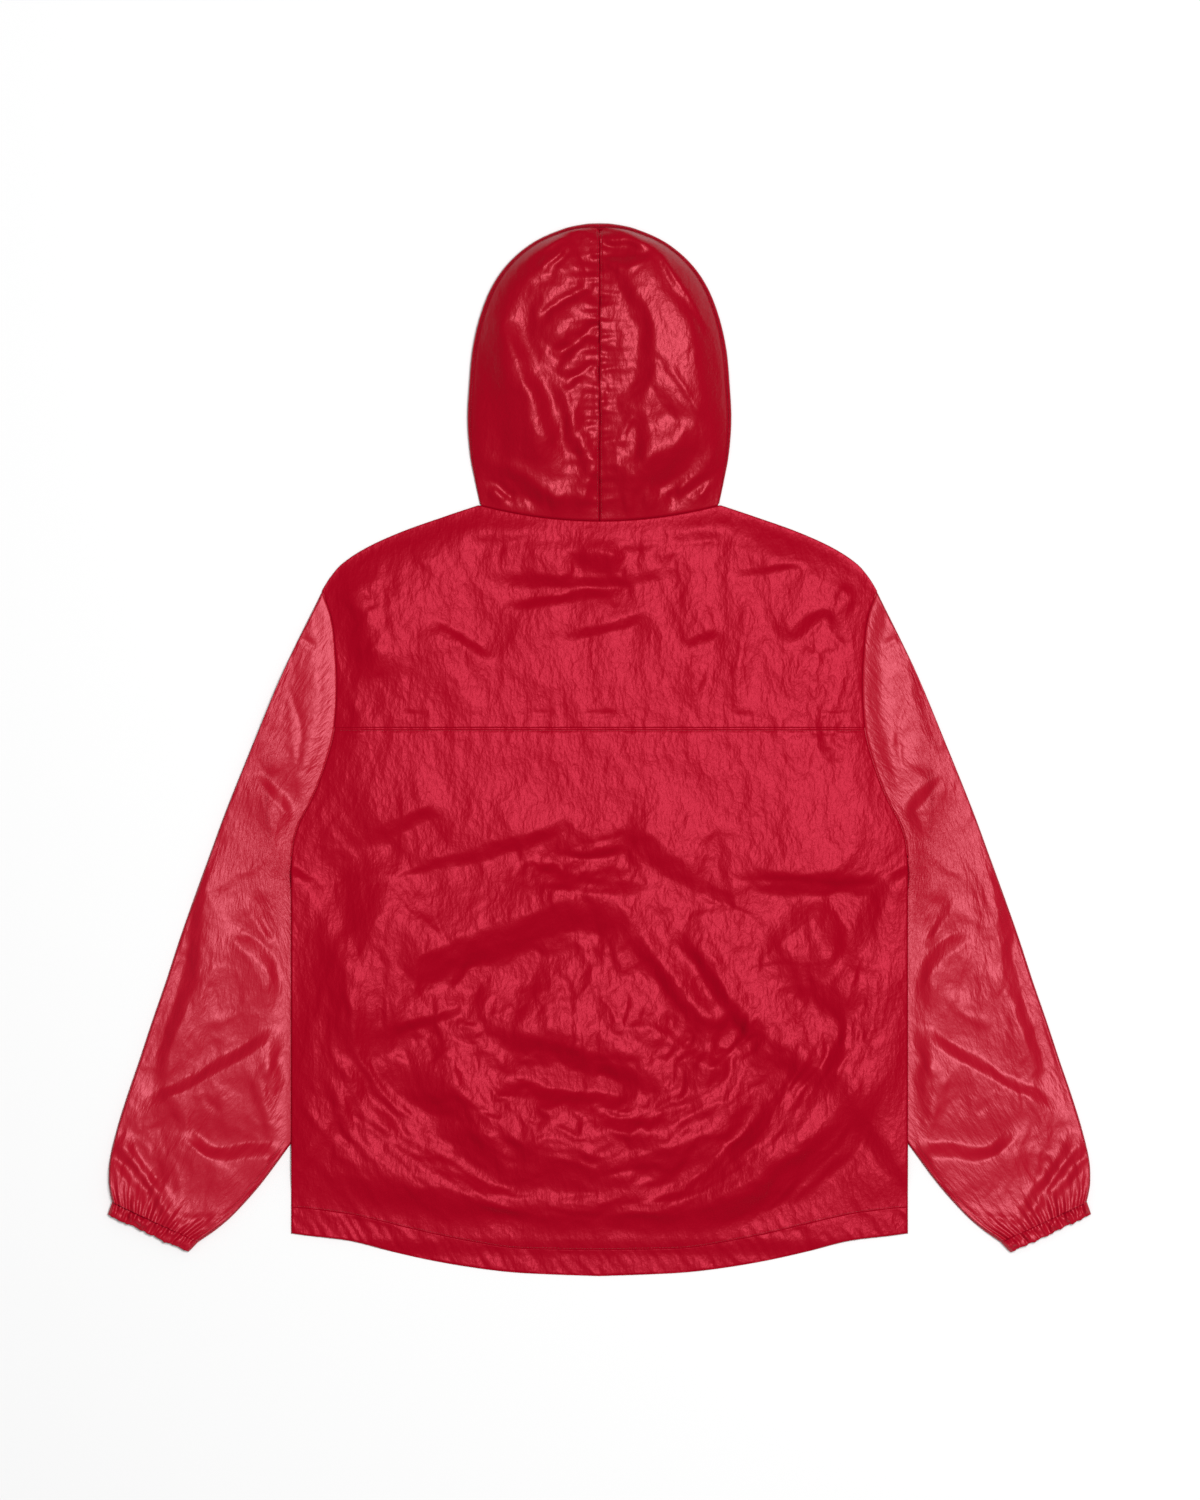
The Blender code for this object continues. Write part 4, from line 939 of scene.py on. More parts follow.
def finish_piece(piece, nodes):
    """Hangs a piece on the root body and hides the solids that it replaces."""
    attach(piece, "root")
    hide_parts(*nodes)


# ---------------------------------------------------------------- the back
def stitch_groove(distance):
    """The dent that a line of stitches draws into the cloth."""
    return -STITCH_GROOVE * np.exp(-(distance / GROOVE_WIDTH) ** 2)


def hem_relief(x, y, below_stitch):
    """The hem's slanting creases, which the stitch line draws in."""
    across = (x - HEM_SLANT * below_stitch) / HEM_CREASES.across
    along = y / HEM_CREASES.along
    noise = gradient_noise(across, along, HEM_CREASES.seed)
    coarse = gradient_noise(across / HEM_COARSE, along, HEM_COARSE_SEED)
    ridges = HEM_RIDGE_LEVEL - np.sqrt(noise ** 2 + RIDGE_ROUND) + HEM_COARSE_SHARE * coarse
    return HEM_RELIEF * ridges * smooth_step(below_stitch / HEM_FADE)


def back_surface(x, y):
    """The upper face of the back's cloth, with all its creases."""
    below_stitch = read_row(BACK_HEM, np.abs(x), "stitch_y") - y
    crumpled = crumple_amount(BACK_CRUMPLES, x, y)
    from_middle = np.hypot(x - ROUND_X, y - ROUND_Y)
    round_about = ROUND_RADIUS * np.arctan2(x - ROUND_X, ROUND_Y - y)
    lower = smooth_step((ROUND_TOP - y) / ROUND_FADE)
    lower *= smooth_step((from_middle - ROUND_CLEAR) / ROUND_FADE)
    relief = (1 - lower) * crinkle_height(x, y, crumpled)
    relief += lower * crinkle_height(from_middle, round_about, crumpled, seed=25)
    relief += crease_height(BACK_CREASES, x, y, seed=8)
    relief += pucker_height(YOKE_PUCKERS, np.abs(y - YOKE_Y), x)
    surface = back_height(x, y, relief) + CLOTH / 2
    surface += pucker_height(HEM_PUCKERS, np.abs(below_stitch), x + PUCKER_SLANT * y)
    surface += np.where(below_stitch > 0, hem_relief(x, y, below_stitch), 0.0)
    surface += stitch_groove(y - YOKE_Y + STITCH_INSET)
    return surface


def make_back(name, low_edge, top_edge, length, widest_y, drops, material, flat=None):
    """Makes a piece of the back between two edges, which are given as heights by half-width part.

    The length and the height at which the piece is widest set how fine its grid is. The drops say
    how far the lower, upper and side edges turn down, as widths and depths.
    """
    rows = spaced(0, length) / length
    width = float(half_width(np.array(widest_y)))
    columns = spaced(-width, width) / width
    part = columns[None, :] * np.ones((len(rows), 1))
    low = low_edge(part)
    top = top_edge(part)
    y = low + (top - low) * rows[:, None]
    side_x = half_width(y) + LAP / 2
    x = part * side_x
    level = np.zeros_like(x)
    z = back_surface(x, y)
    low_drop, top_drop, side_drop = drops
    z = z - edge_roll(y - low, *low_drop)
    z = z - edge_roll(top - y, *top_drop)
    z = z - edge_roll(side_x - np.abs(x), *side_drop)
    points = np.stack([x, y, np.maximum(z, WALL)], axis=-1)
    flat_points = np.stack([x, y, level], axis=-1)
    piece = make_shell(name + "_cloth", points, flat_points, material)
    flat = flat or (float(np.ptp(x)), float(np.ptp(y)))
    finish_piece(piece, [name])


def hem_line(part, column):
    """A line of the back's hem, at places given as parts of the body's half width."""
    return read_row(BACK_HEM, np.abs(part) * (BODY_HALF - SEAM / 2), column)


def yoke_line(part, past):
    """The straight seam across the back, or a line beside it."""
    return np.full(part.shape, YOKE_Y + past)


def make_back_yoke(material):
    """The upper back, from the yoke's seam to the neck and the shoulders."""
    def low_edge(part):
        return yoke_line(part, -LAP)

    def top_edge(part):
        return back_top(part * (SHOULDER_HALF - SEAM / 2)) - SEAM / 2

    length = float(back_top(0.0)) - YOKE_Y
    drops = ((SEAM_ROLL, SEAM_ROLL), (SHOULDER_ROLL, SEAM_ROLL), (SIDE_ROLL, SEAM_ROLL))
    make_back("back_yoke", low_edge, top_edge, length, YOKE_Y, drops, material)


def make_back_lower(material):
    """The back from the yoke's seam down to the stitches of the hem."""
    def low_edge(part):
        return hem_line(part, "stitch_y") - LAP

    def top_edge(part):
        return yoke_line(part, LAP)

    length = YOKE_Y - BACK_HEM[0].stitch_y
    drops = ((SEAM_ROLL, SEAM_ROLL), (SEAM_ROLL, SEAM_ROLL), (SIDE_ROLL, SIDE_WRAP))
    make_back("back_lower", low_edge, top_edge, length, ARMPIT_Y, drops, material)


def make_hem_back(material):
    """The turned hem of the back."""
    def low_edge(part):
        return hem_line(part, "edge_y")

    def top_edge(part):
        return hem_line(part, "stitch_y") + LAP

    drops = ((SIDE_ROLL, SIDE_WRAP), (SEAM_ROLL, SEAM_ROLL), (SIDE_ROLL, SIDE_WRAP))
    make_back("hem_back", low_edge, top_edge, HEM_DEPTH, ARMPIT_Y, drops, material, HEM_FLAT)


# ---------------------------------------------------------------- the fronts, which are hidden
def even_count(length, step):
    """How many steps fit a length, as an even number."""
    return 2 * round(length / step / 2)


def make_hidden_sheet(name, node, side, x, y, z, material):
    """Makes a piece that lies on the surface from its grid, mirrored where the side is -1."""
    points = np.stack([side * x, y, z], axis=-1)[:, ::side]
    flat_points = points * (1, 1, 0)
    piece = make_shell(name, points, flat_points + (0, 0, HIDDEN_GRAIN), material)
    finish_piece(piece, [node])


def front_relief(x, y, from_edge):
    """The fronts' own creases: the cloth that lies on the surface rises from it in places."""
    noise = cell_noise(FRONT_FOLDS, x, y) + FRONT_CREASE_SHARE * cell_noise(FRONT_CREASES, x, y)
    clear = smooth_step((read_row(SLEEVE_COVER, y, "x") - CLIMB - np.abs(x)) / SEAM_FADE)
    return FRONT_RELIEF * np.clip(FRONT_LEVEL + noise, 0, 1) * clear * smooth_step(from_edge / FRONT_FADE)


def make_front(side_name, side, material):
    """One front, from its zip to its side seam, armhole and shoulder."""
    inner_x = ZIP_HALF + SEAM
    low_y = FRONT_HEM_Y + HEM_DEPTH + SEAM / 2
    parts = np.linspace(0, 1, even_count(SHOULDER_HALF - inner_x, FRONT_STEP) + 1)
    rows = np.linspace(0, 1, even_count(NECK_Y - low_y, FRONT_STEP) + 1)
    part = parts[None, :] * np.ones((len(rows), 1))
    top_x = inner_x + part * (SHOULDER_HALF - SEAM / 2 - inner_x)
    y = low_y + (front_top(top_x) - SEAM / 2 - low_y) * rows[:, None]
    x = inner_x + part * (half_width(y) - 3 * SEAM - inner_x)
    from_side = np.minimum(x - inner_x, half_width(y) - x)
    from_end = np.minimum(y - low_y, front_top(x) - y)
    z = front_height(x, y) + CLOTH / 2 - UNDER_FACE
    z += front_relief(side * x, y, np.minimum(from_side, from_end))
    node = "front_" + side_name
    make_hidden_sheet(node + "_cloth", node, side, x, y, z, material)


def make_hem_front(side_name, side, material):
    """The turned hem of one front."""
    inner_x = ZIP_HALF + SEAM
    outer_x = BODY_HALF - 3 * SEAM
    xs = np.linspace(inner_x, outer_x, even_count(outer_x - inner_x, UNDER_STEP) + 1)
    ys = np.linspace(FRONT_HEM_Y, FRONT_HEM_Y + HEM_DEPTH - SEAM / 2, HEM_ROWS + 1)
    x, y = np.meshgrid(xs, ys)
    z = np.full(x.shape, CLOTH - UNDER_FACE)
    node = "hem_front_" + side_name
    make_hidden_sheet(node + "_cloth", node, side, x, y, z, material)


def make_front_zip(material):
    """The closed zip's tape, which rises over its teeth."""
    xs = np.linspace(-ZIP_HALF, ZIP_HALF, ZIP_COLUMNS + 1)
    ys = np.linspace(FRONT_HEM_Y, FRONT_NECK_Y - SEAM / 2, ZIP_ROWS + 1)
    x, y = np.meshgrid(xs, ys)
    over_teeth = TOOTH_HEIGHT * smooth_step((2 * TOOTH_WIDTH - np.abs(x)) / TOOTH_WIDTH)
    z = CLOTH - UNDER_FACE + over_teeth
    make_hidden_sheet("front_zip_tape", "front_zip", 1, x, y, z, material)


def make_bars(name, starts, ends, width, height, material):
    """Joins many small bars into one object. Each runs from its start to its end, narrows
    towards its top and stands half in what it lies on."""
    across = np.cross(ends - starts, (0, 0, 1))
    across *= width / 2 / np.linalg.norm(across, axis=1)[:, None]
    up = np.array([0, 0, height / 2])
    section = ((-1, -1), (1, -1), (BAR_TOP, 1), (-BAR_TOP, 1))
    corners = [line + side * across + level * up for line in (starts, ends) for side, level in section]
    vertices = np.stack(corners, axis=1).reshape(-1, 3)
    box = ((0, 1, 2, 3), (7, 6, 5, 4), (0, 4, 5, 1), (1, 5, 6, 2), (2, 6, 7, 3), (3, 7, 4, 0))
    faces = [[8 * index + corner for corner in face] for index in range(len(starts)) for face in box]
    mesh = bpy.data.meshes.new(name)
    mesh.from_pydata(vertices.tolist(), [], faces)
    mesh.materials.append(material)
    bars = add_object(name, mesh)
    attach(bars, "root")


def way_along(line):
    """How far each point of a line lies from its start, along the line."""
    return np.concatenate([[0.0], np.cumsum(np.linalg.norm(np.diff(line, axis=0), axis=1))])


def make_stitches(name, line, material):
    """A line of stitches along a line of points on the cloth."""
    walked = way_along(line)
    places = np.arange(STITCH_PITCH, walked[-1] - STITCH_PITCH, STITCH_PITCH)

    def on_line(at):
        return np.stack([np.interp(at, walked, line[:, axis]) for axis in range(3)], axis=-1)

    ends = on_line(places + STITCH_LENGTH)
    make_bars(name, on_line(places), ends, STITCH_WIDTH, STITCH_HEIGHT, material)


def make_back_stitches(material):
    """The stitch lines below the yoke's seam and above the hem."""
    half = float(half_width(np.array(YOKE_Y))) - STITCH_INSET
    x = np.linspace(-half, half, LINE_POINTS)
    y = yoke_line(x, -STITCH_INSET)
    make_stitches("yoke_stitches", np.stack([x, y, back_surface(x, y)], axis=-1), material)
    half = BODY_HALF - STITCH_INSET
    x = np.linspace(-half, half, LINE_POINTS)
    y = read_row(BACK_HEM, np.abs(x), "stitch_y") + STITCH_INSET / 2
    make_stitches("hem_stitches", np.stack([x, y, back_surface(x, y)], axis=-1), material)


def make_zip_teeth(material):
    """The zip's teeth, which show on the side that lies on the surface."""
    count = round((FRONT_NECK_Y - FRONT_HEM_Y) / TOOTH_PITCH) - 2
    y = FRONT_HEM_Y + TOOTH_PITCH * (1 + np.arange(count))
    side = np.where(np.arange(count) % 2, 1.0, -1.0)
    z = np.full(count, TOOTH_HEIGHT / 2 + TOOTH_CLEAR)
    starts = np.stack([-TOOTH_MESH * side * TOOTH_WIDTH, y, z], axis=-1)
    ends = np.stack([side * TOOTH_WIDTH, y, z], axis=-1)
    make_bars("zip_teeth", starts, ends, TOOTH_FILL * TOOTH_PITCH, TOOTH_HEIGHT, material)


# ---------------------------------------------------------------- sleeves and cuffs
def armhole_bow(part):
    """How far the armhole seam lies from the straight line between its ends, part way down."""
    first = SLEEVE[0]
    y = first.outer_y + (first.inner_y - first.outer_y) * part
    straight_x = first.outer_x + (first.inner_x - first.outer_x) * part
    return half_width(y) - straight_x


def layer_parts(step):
    """Places across one layer of a tube laid flat, from fold to fold."""
    return np.linspace(0, 1, even_count(LAYER_WIDTH, step) + 1)


def flat_ring(outer, inner, fold, wave, bow=None, inner_way=None):
    """Points round a tube laid flat, from the place of its outer fold to that of its inner one.

    Also gives, for each, how far it is on the upper layer (0 to 1) and its place between the folds.
    The bow moves points along X by their place, and the inner way is where the inner fold's own
    middle lies from its tip.
    """
    width = math.dist(outer, inner)
    run = (inner - outer) / width
    inner_way = -run if inner_way is None else inner_way
    corner = CLOTH / 2 + fold
    middle_z = CLOTH / 2 + WAVE_ROOM * wave + fold

    def place(parts, z, is_upper):
        distance = corner + (width - 2 * corner) * parts
        xy = outer + run * distance[:, None]
        turn = inner + inner_way * corner - (outer + run * (width - corner))
        xy = xy + turn * smooth_step((parts - SECTION_FILL) / (1 - SECTION_FILL))[:, None]
        share = distance / width
        if bow:
            xy[:, 0] += bow(share)
        ripple = wave * np.cos(2 * math.pi * CUFF_WAVES * parts)
        return np.column_stack([xy, z + ripple]), np.full(len(parts), is_upper), parts

    def turn_edge(tip, inward, turns, at):
        reach = CLOTH / 2 + fold * (1 - np.sin(turns))
        xy = tip + inward * reach[:, None]
        if bow:
            xy[:, 0] += bow(np.full(len(turns), at))
        points = np.column_stack([xy, middle_z - fold * np.cos(turns)])
        return points, np.zeros(len(turns)), np.full(len(turns), at)

    turns = np.linspace(0, math.pi, FOLD_STEPS + 1)[1:-1]
    stretches = [
        place(layer_parts(UNDER_STEP), middle_z - fold, 0.0),
        turn_edge(inner, inner_way, turns, 1.0),
        place(layer_parts(SLEEVE_STEP)[::-1], middle_z + fold, 1.0),
        turn_edge(outer, run, turns[::-1], 0.0),
    ]
    points, is_upper, parts = (np.concatenate(column) for column in zip(*stretches))
    return points, is_upper, parts


def sleeve_ring(index):
    """Points round one section of the sleeve, as in the solid."""
    row = SLEEVE[index]
    outer = np.array([row.outer_x, row.outer_y])
    inner = np.array([row.inner_x, row.inner_y])
    fold = SLEEVE_FOLD + (CUFF_FOLD - SLEEVE_FOLD) * row.gather
    wave = CUFF_WAVE * row.gather

    def bow(part):
        if index == 0:
            return armhole_bow(part) + SLEEVE_SET
        return row.bow * np.sin(math.pi * np.minimum(part, 1.0) ** 2)

    if index in (0, len(SLEEVE) - 1):
        return flat_ring(outer, inner, fold, wave, bow)
    before = SLEEVE[index - 1]
    after = SLEEVE[index + 1]
    along = np.array([after.inner_x - before.inner_x, after.inner_y - before.inner_y])
    along /= np.linalg.norm(along)
    across = (outer - inner) / math.dist(outer, inner)
    inner_way = np.array([-along[1], along[0]]) + across
    inner_way /= np.linalg.norm(inner_way)
    return flat_ring(outer, inner, fold, wave, bow, inner_way)


def sleeve_rows():
    """Places along the sleeve, in rings, about as close as its columns and an odd number."""
    first_length = math.dist(SLEEVE[0][:2], SLEEVE[1][:2])
    places = [0.0] + [step / first_length for step in RING_STEPS]
    for index, (row, after) in enumerate(zip(SLEEVE, SLEEVE[1:])):
        length = math.dist((row.outer_x, row.outer_y), (after.outer_x, after.outer_y))
        length = max(length, math.dist((row.inner_x, row.inner_y), (after.inner_x, after.inner_y)))
        count = max(2, even_count(length, SLEEVE_STEP))
        first = 2 if index == 0 else 1
        places += [index + step / count for step in range(first, count + 1)]
    return np.array(places + [len(SLEEVE) - 1 + PAST_END])


def sleeve_edge(y):
    """Where the body's edge runs beside the sleeve, or over it."""
    return np.where(y > ARMPIT_Y, half_width(y), BODY_HALF)


def sleeve_lift(x, y, parts, steps, side):
    """How far the sleeve's upper layer rises from its solid's form at points."""
    from_edge = x - sleeve_edge(y)
    clear = CLEAR_OF_SEAM + (CLEAR_OF_BODY - CLEAR_OF_SEAM) * smooth_step((ARMPIT_Y - y) / CLEAR_FADE)
    off_body = smooth_step((from_edge - clear) / SLEEVE_RISE)
    off_cuff = smooth_step((y - SLEEVE[-1].inner_y) / CUFF_FADE)
    off_fold = smooth_step(np.minimum(parts, 1 - parts) / FOLD_FADE)
    folds = SLEEVE_LIFT + crease_height(SLEEVE_FOLDS, x, y, seed=6) + band_height(SLEEVE_BANDS, x, y)
    relief = crinkle_height(side * x, y, crumple_amount(SLEEVE_CRUMPLES, x, y), seed=40)
    relief += crease_height(SLEEVE_CREASES, x, y, seed=7)
    relief += pucker_height(CUFF_PUCKERS, (steps[-1] - steps)[:, None], parts * LAYER_WIDTH, side)
    relief += pucker_height(ARMHOLE_PUCKERS, np.abs(from_edge), y, side)
    lift = off_body * off_cuff * folds + off_body * off_fold * relief
    lift = lift + off_body * stitch_groove((parts - UNDERARM_PLACE) * LAYER_WIDTH)
    return np.maximum(lift, LEAST_SLEEVE_LIFT)


def make_sleeve(side_name, side, material):
    """One sleeve, as a tube laid flat. Returns the line of its underarm seam's stitches."""
    rings = [sleeve_ring(index) for index in range(len(SLEEVE))]
    points = spline(np.array([ring[0] for ring in rings]), sleeve_rows())
    is_upper = rings[0][1][None, :]
    parts = rings[0][2][None, :]
    x = points[..., 0]
    y = points[..., 1]
    steps = way_along(points[:, 0])
    points[..., 2] += is_upper * sleeve_lift(x, y, parts, steps, side)
    points[..., 2] += is_upper * CLOTH / 2
    seam_roll = edge_roll(np.abs(x - sleeve_edge(y)), SIDE_ROLL, 2 * SEAM_ROLL)
    points[..., 2] -= is_upper * np.where(y > ARMPIT_Y, seam_roll, 0.0)
    off_seam = np.where(is_upper[0] > 0, np.abs(parts[0] - UNDERARM_PLACE), 1.0)
    seam_rows = (y[:, 0] < UNDERARM_TOP) & (steps < steps[-1] - STITCH_PITCH)
    seam_line = points[seam_rows, int(np.argmin(off_seam))] * (side, 1, 1)
    every = np.ones_like(x)
    grain = np.stack([parts * LAYER_WIDTH * every, steps[:, None] * every, is_upper * every], axis=-1)
    points = (points * (side, 1, 1))[:, ::-side]
    piece = make_shell("sleeve_" + side_name + "_cloth", points, grain[:, ::-side], material, True)
    finish_piece(piece, ["sleeve_" + side_name])
    return seam_line


def cuff_gather(parts, down, side):
    """How the elastic gathers the cuff at places round it, so far down it."""
    waves = parts * CUFF_WAVES
    down = np.full(parts.shape, down)
    along = down * CUFF_GATHERS.to_depth + CUFF_SIDE_SHIFT * side
    coarse = gradient_noise(waves * CUFF_GATHERS.to_wave, along, CUFF_GATHERS.seed)
    along = down * CUFF_CREASES.to_depth
    fine = gradient_noise(waves * CUFF_CREASES.to_wave, along, CUFF_CREASES.seed)
    return coarse + CUFF_CREASE_SHARE * fine


def cuff_ring(part, side):
    """Points round the cuff, part way down it."""
    wrist = SLEEVE[-1]
    outer = np.array([wrist.outer_x, wrist.outer_y])
    inner = np.array([wrist.inner_x, wrist.inner_y])
    across = (inner - outer) / math.dist(outer, inner)
    down = np.array([-across[1], across[0]])
    depth = CUFF_SET + (CUFF_DEPTH - CUFF_SET) * part
    draw_in = CUFF_DRAW_IN * part
    outer = outer + down * depth + across * draw_in * CUFF_DRAW_OUTER
    inner = inner + down * depth - across * draw_in
    ripple = CUFF_WAVE * (1 - CUFF_SMOOTH * part)
    ring, is_upper, parts = flat_ring(outer, inner, CUFF_FOLD, ripple)
    gather = cuff_gather(parts, part, side)
    puff = CUFF_PUFF * math.sin(math.pi * (CUFF_PUFF_FROM + CUFF_PUFF_SPAN * part))
    puff = puff * np.maximum(CUFF_PUFF_LEVEL + CUFF_PUFF_GAIN * gather, 0)
    ring[:, 2] += is_upper * (puff + CLOTH / 2)
    ring[:, :2] += np.outer(CUFF_SCALLOP * part * gather, down)
    return ring


def make_cuff(side_name, side, material):
    """The gathered casing at one wrist."""
    rings = np.array([cuff_ring(row / CUFF_ROWS, side) for row in range(CUFF_ROWS + 1)])
    points = (rings * (side, 1, 1))[:, ::-side]
    piece = make_shell("cuff_" + side_name + "_cloth", points, rings[:, ::-side], material, True)
    finish_piece(piece, ["cuff_" + side_name])


# ---------------------------------------------------------------- the hood
def hood_rib(index, crown_power):
    """Points of one rib of half a hood, as in the solid: crown, folded side and underside."""
    row = HOOD[index]
    tip = np.array([row.side_x, row.side_y])
    seam = np.array([-LAP / 2, row.seam_y])
    face = np.array([row.face_x, row.face_y])
    inward = (seam + face) / 2 - tip
    inward /= np.linalg.norm(inward)
    inset = tip + inward * (CLOTH / 2 + row.fold)
    fold_top = CLOTH / 2 + 2 * row.fold
    above_neck = smooth_step(index / HOOD_NECK_RIBS)
    power = HOOD_NECK_POWER + (crown_power - HOOD_NECK_POWER) * above_neck
    part = np.linspace(0, 1, HOOD_CROWN_COLUMNS + 1)[:, None]
    crown = seam + (inset - seam) * part
    if index == 0:
        crown[:, 1] = back_top(crown[:, 0]) + HOOD_SET
    arch = 1 - part ** power
    crown = np.column_stack([crown, fold_top + (row.peak - fold_top) * arch])
    turn = np.linspace(0, math.pi, FOLD_STEPS + 1)[1:-1][:, None]
    side = tip + inward * (CLOTH / 2 + row.fold * (1 - np.sin(turn)))
    side = np.column_stack([side, CLOTH / 2 + row.fold * (1 + np.cos(turn))])
    part = np.linspace(0, 1, HOOD_UNDER_COLUMNS + 1)[:, None]
    under = inset + (face - inset) * part
    if index == 0:
        under[1:, 1] = front_top(under[1:, 0]) + SEAM / 2
    under = np.column_stack([under, np.full(len(part), CLOTH / 2)])
    return np.concatenate([crown, side, under])


def hood_rows():
    """Places up the hood, in ribs, about as close as its columns and an odd number."""
    places = [0.0]
    for index, (row, after) in enumerate(zip(HOOD, HOOD[1:])):
        length = math.dist((row.side_x, row.side_y), (after.side_x, after.side_y))
        count = max(2, even_count(length, HOOD_STEP))
        places += [index + step / count for step in range(1, count + 1)]
    return np.array(places)


def hood_relief(x, y, side):
    """The creases of half the hood, at points that are given as on the right."""
    placed_x = side * x
    crumpled = crumple_amount(HOOD_CRUMPLES, placed_x, y)
    relief = crease_height(HOOD_FOLDS, placed_x, y, seed=9) + band_height(HOOD_BANDS, placed_x, y)
    relief += crinkle_height(placed_x, y, crumpled, seed=70)
    relief += pucker_height(CROWN_PUCKERS, np.abs(x), y, side)
    relief += pucker_height(NECK_PUCKERS, np.maximum(y - back_top(x), 0.0), x, side)
    return relief


def make_hood_half(side_name, side, material):
    """Half the hood, from its middle seam round to the face. Returns its line of stitches."""
    ribs = np.array([hood_rib(index, HOOD_CROWN_POWER[side]) for index in range(len(HOOD))])
    places = hood_rows()
    points = spline(ribs, places)
    x = points[..., 0]
    y = points[..., 1]
    column = np.arange(points.shape[1])
    fade_columns = HOOD_SIDE_FADE * HOOD_CROWN_COLUMNS
    on_crown = smooth_step((HOOD_CROWN_COLUMNS - column) / fade_columns)[None, :]
    above_neck = smooth_step(places / HOOD_RELIEF_RIBS)[:, None]
    points[..., 2] += on_crown * (above_neck * hood_relief(x, y, side) + CLOTH / 2)
    points[..., 2] -= on_crown * edge_roll(np.maximum(x, 0.0), 2 * SEAM_ROLL, SEAM_ROLL)
    points[..., 2] += on_crown * above_neck * stitch_groove(x - CROWN_INSET)
    points[..., 2] -= on_crown * above_neck * HOOD_VALLEY * np.exp(-(x / HOOD_VALLEY_HALF) ** 2)
    seam_line = []
    for crown in points[:, :HOOD_CROWN_COLUMNS // 2]:
        seam_y = np.interp(CROWN_INSET, crown[:, 0], crown[:, 1])
        seam_z = np.interp(CROWN_INSET, crown[:, 0], crown[:, 2])
        seam_line.append((side * CROWN_INSET, seam_y, seam_z))
    layer = np.where(column > HOOD_CROWN_COLUMNS, HIDDEN_GRAIN, 0.0) + 0 * x
    grain = np.stack([side * x, y, layer], axis=-1)
    points = (points * (side, 1, 1))[:, ::side]
    piece = make_shell("hood_" + side_name + "_cloth", points, grain[:, ::side], material)
    finish_piece(piece, ["hood_" + side_name])
    return np.array(seam_line)


# ---------------------------------------------------------------- materials
def new_material(name, colour, roughness):
    """A material with its colour and roughness, and the shader that they are set on."""
    material = bpy.data.materials.new(name)
    material.use_nodes = True
    shader = material.node_tree.nodes["Principled BSDF"]
    shader.inputs["Base Color"].default_value = (*colour, 1)
    shader.inputs["Roughness"].default_value = roughness
    return material, shader


def nylon_material(finish):
    """Crinkled wet-look nylon: fine streaks along the grain and a creased surface, as bump."""
    material, shader = new_material(finish.name, finish.colour, finish.roughness)
    nodes = material.node_tree.nodes
    links = material.node_tree.links
    shader.inputs["Specular Tint"].default_value = (*finish.tint, 1)
    shader.inputs["IOR"].default_value = NYLON_IOR
    shader.inputs["Specular IOR Level"].default_value = finish.gloss
    grain = nodes.new("ShaderNodeAttribute")
    grain.attribute_name = "grain"

    def mapped(scale, stretch):
        mapping = nodes.new("ShaderNodeMapping")
        mapping.inputs["Scale"].default_value = (scale, scale / stretch, scale)
        mapping.inputs["Location"].default_value = (finish.shift, finish.shift * 2, 0)
        links.new(grain.outputs["Vector"], mapping.inputs["Vector"])
        return mapping.outputs["Vector"]

    def noise_texture(scale, stretch):
        noise = nodes.new("ShaderNodeTexNoise")
        noise.inputs["Scale"].default_value = 1.0
        noise.inputs["Detail"].default_value = STREAK_DETAIL
        noise.inputs["Distortion"].default_value = STREAK_DISTORTION
        links.new(mapped(scale, stretch), noise.inputs["Vector"])
        return noise

    def facet_texture(scale, stretch):
        shift = nodes.new("ShaderNodeVectorMath")
        shift.operation = "MULTIPLY_ADD"
        links.new(noise_texture(scale * FACET_SHIFT_CELLS, stretch).outputs["Color"], shift.inputs[0])
        shift.inputs[1].default_value = FACET_SHIFT
        links.new(mapped(scale, stretch), shift.inputs[2])
        facets = nodes.new("ShaderNodeTexVoronoi")
        facets.inputs["Scale"].default_value = 1.0
        links.new(shift.outputs["Vector"], facets.inputs["Vector"])
        return facets.outputs["Distance"]

    heights = [(facet_texture(layer.scale, layer.stretch), layer.share) for layer in FACET_BUMPS]
    streaks = noise_texture(STREAK_BUMP.scale, STREAK_BUMP.stretch)
    heights.append((streaks.outputs["Fac"], STREAK_BUMP.share))
    previous = None
    for height, share in heights:
        bump = nodes.new("ShaderNodeBump")
        bump.inputs["Strength"].default_value = 1.0
        bump.inputs["Distance"].default_value = finish.bump * share
        links.new(height, bump.inputs["Height"])
        if previous:
            links.new(previous.outputs["Normal"], bump.inputs["Normal"])
        previous = bump
    links.new(previous.outputs["Normal"], shader.inputs["Normal"])
    return material


def thread_material(finish):
    """Matt thread, or tape woven of it: fine slanting ribs as bump."""
    material, shader = new_material(finish.name, finish.colour, finish.roughness)
    nodes = material.node_tree.nodes
    links = material.node_tree.links
    place = nodes.new("ShaderNodeTexCoord")
    ribs = nodes.new("ShaderNodeTexWave")
    ribs.bands_direction = "DIAGONAL"
    ribs.inputs["Scale"].default_value = finish.ribs
    links.new(place.outputs["Object"], ribs.inputs["Vector"])
    bump = nodes.new("ShaderNodeBump")
    bump.inputs["Distance"].default_value = RIB_BUMP
    links.new(ribs.outputs["Fac"], bump.inputs["Height"])
    links.new(bump.outputs["Normal"], shader.inputs["Normal"])
    return material


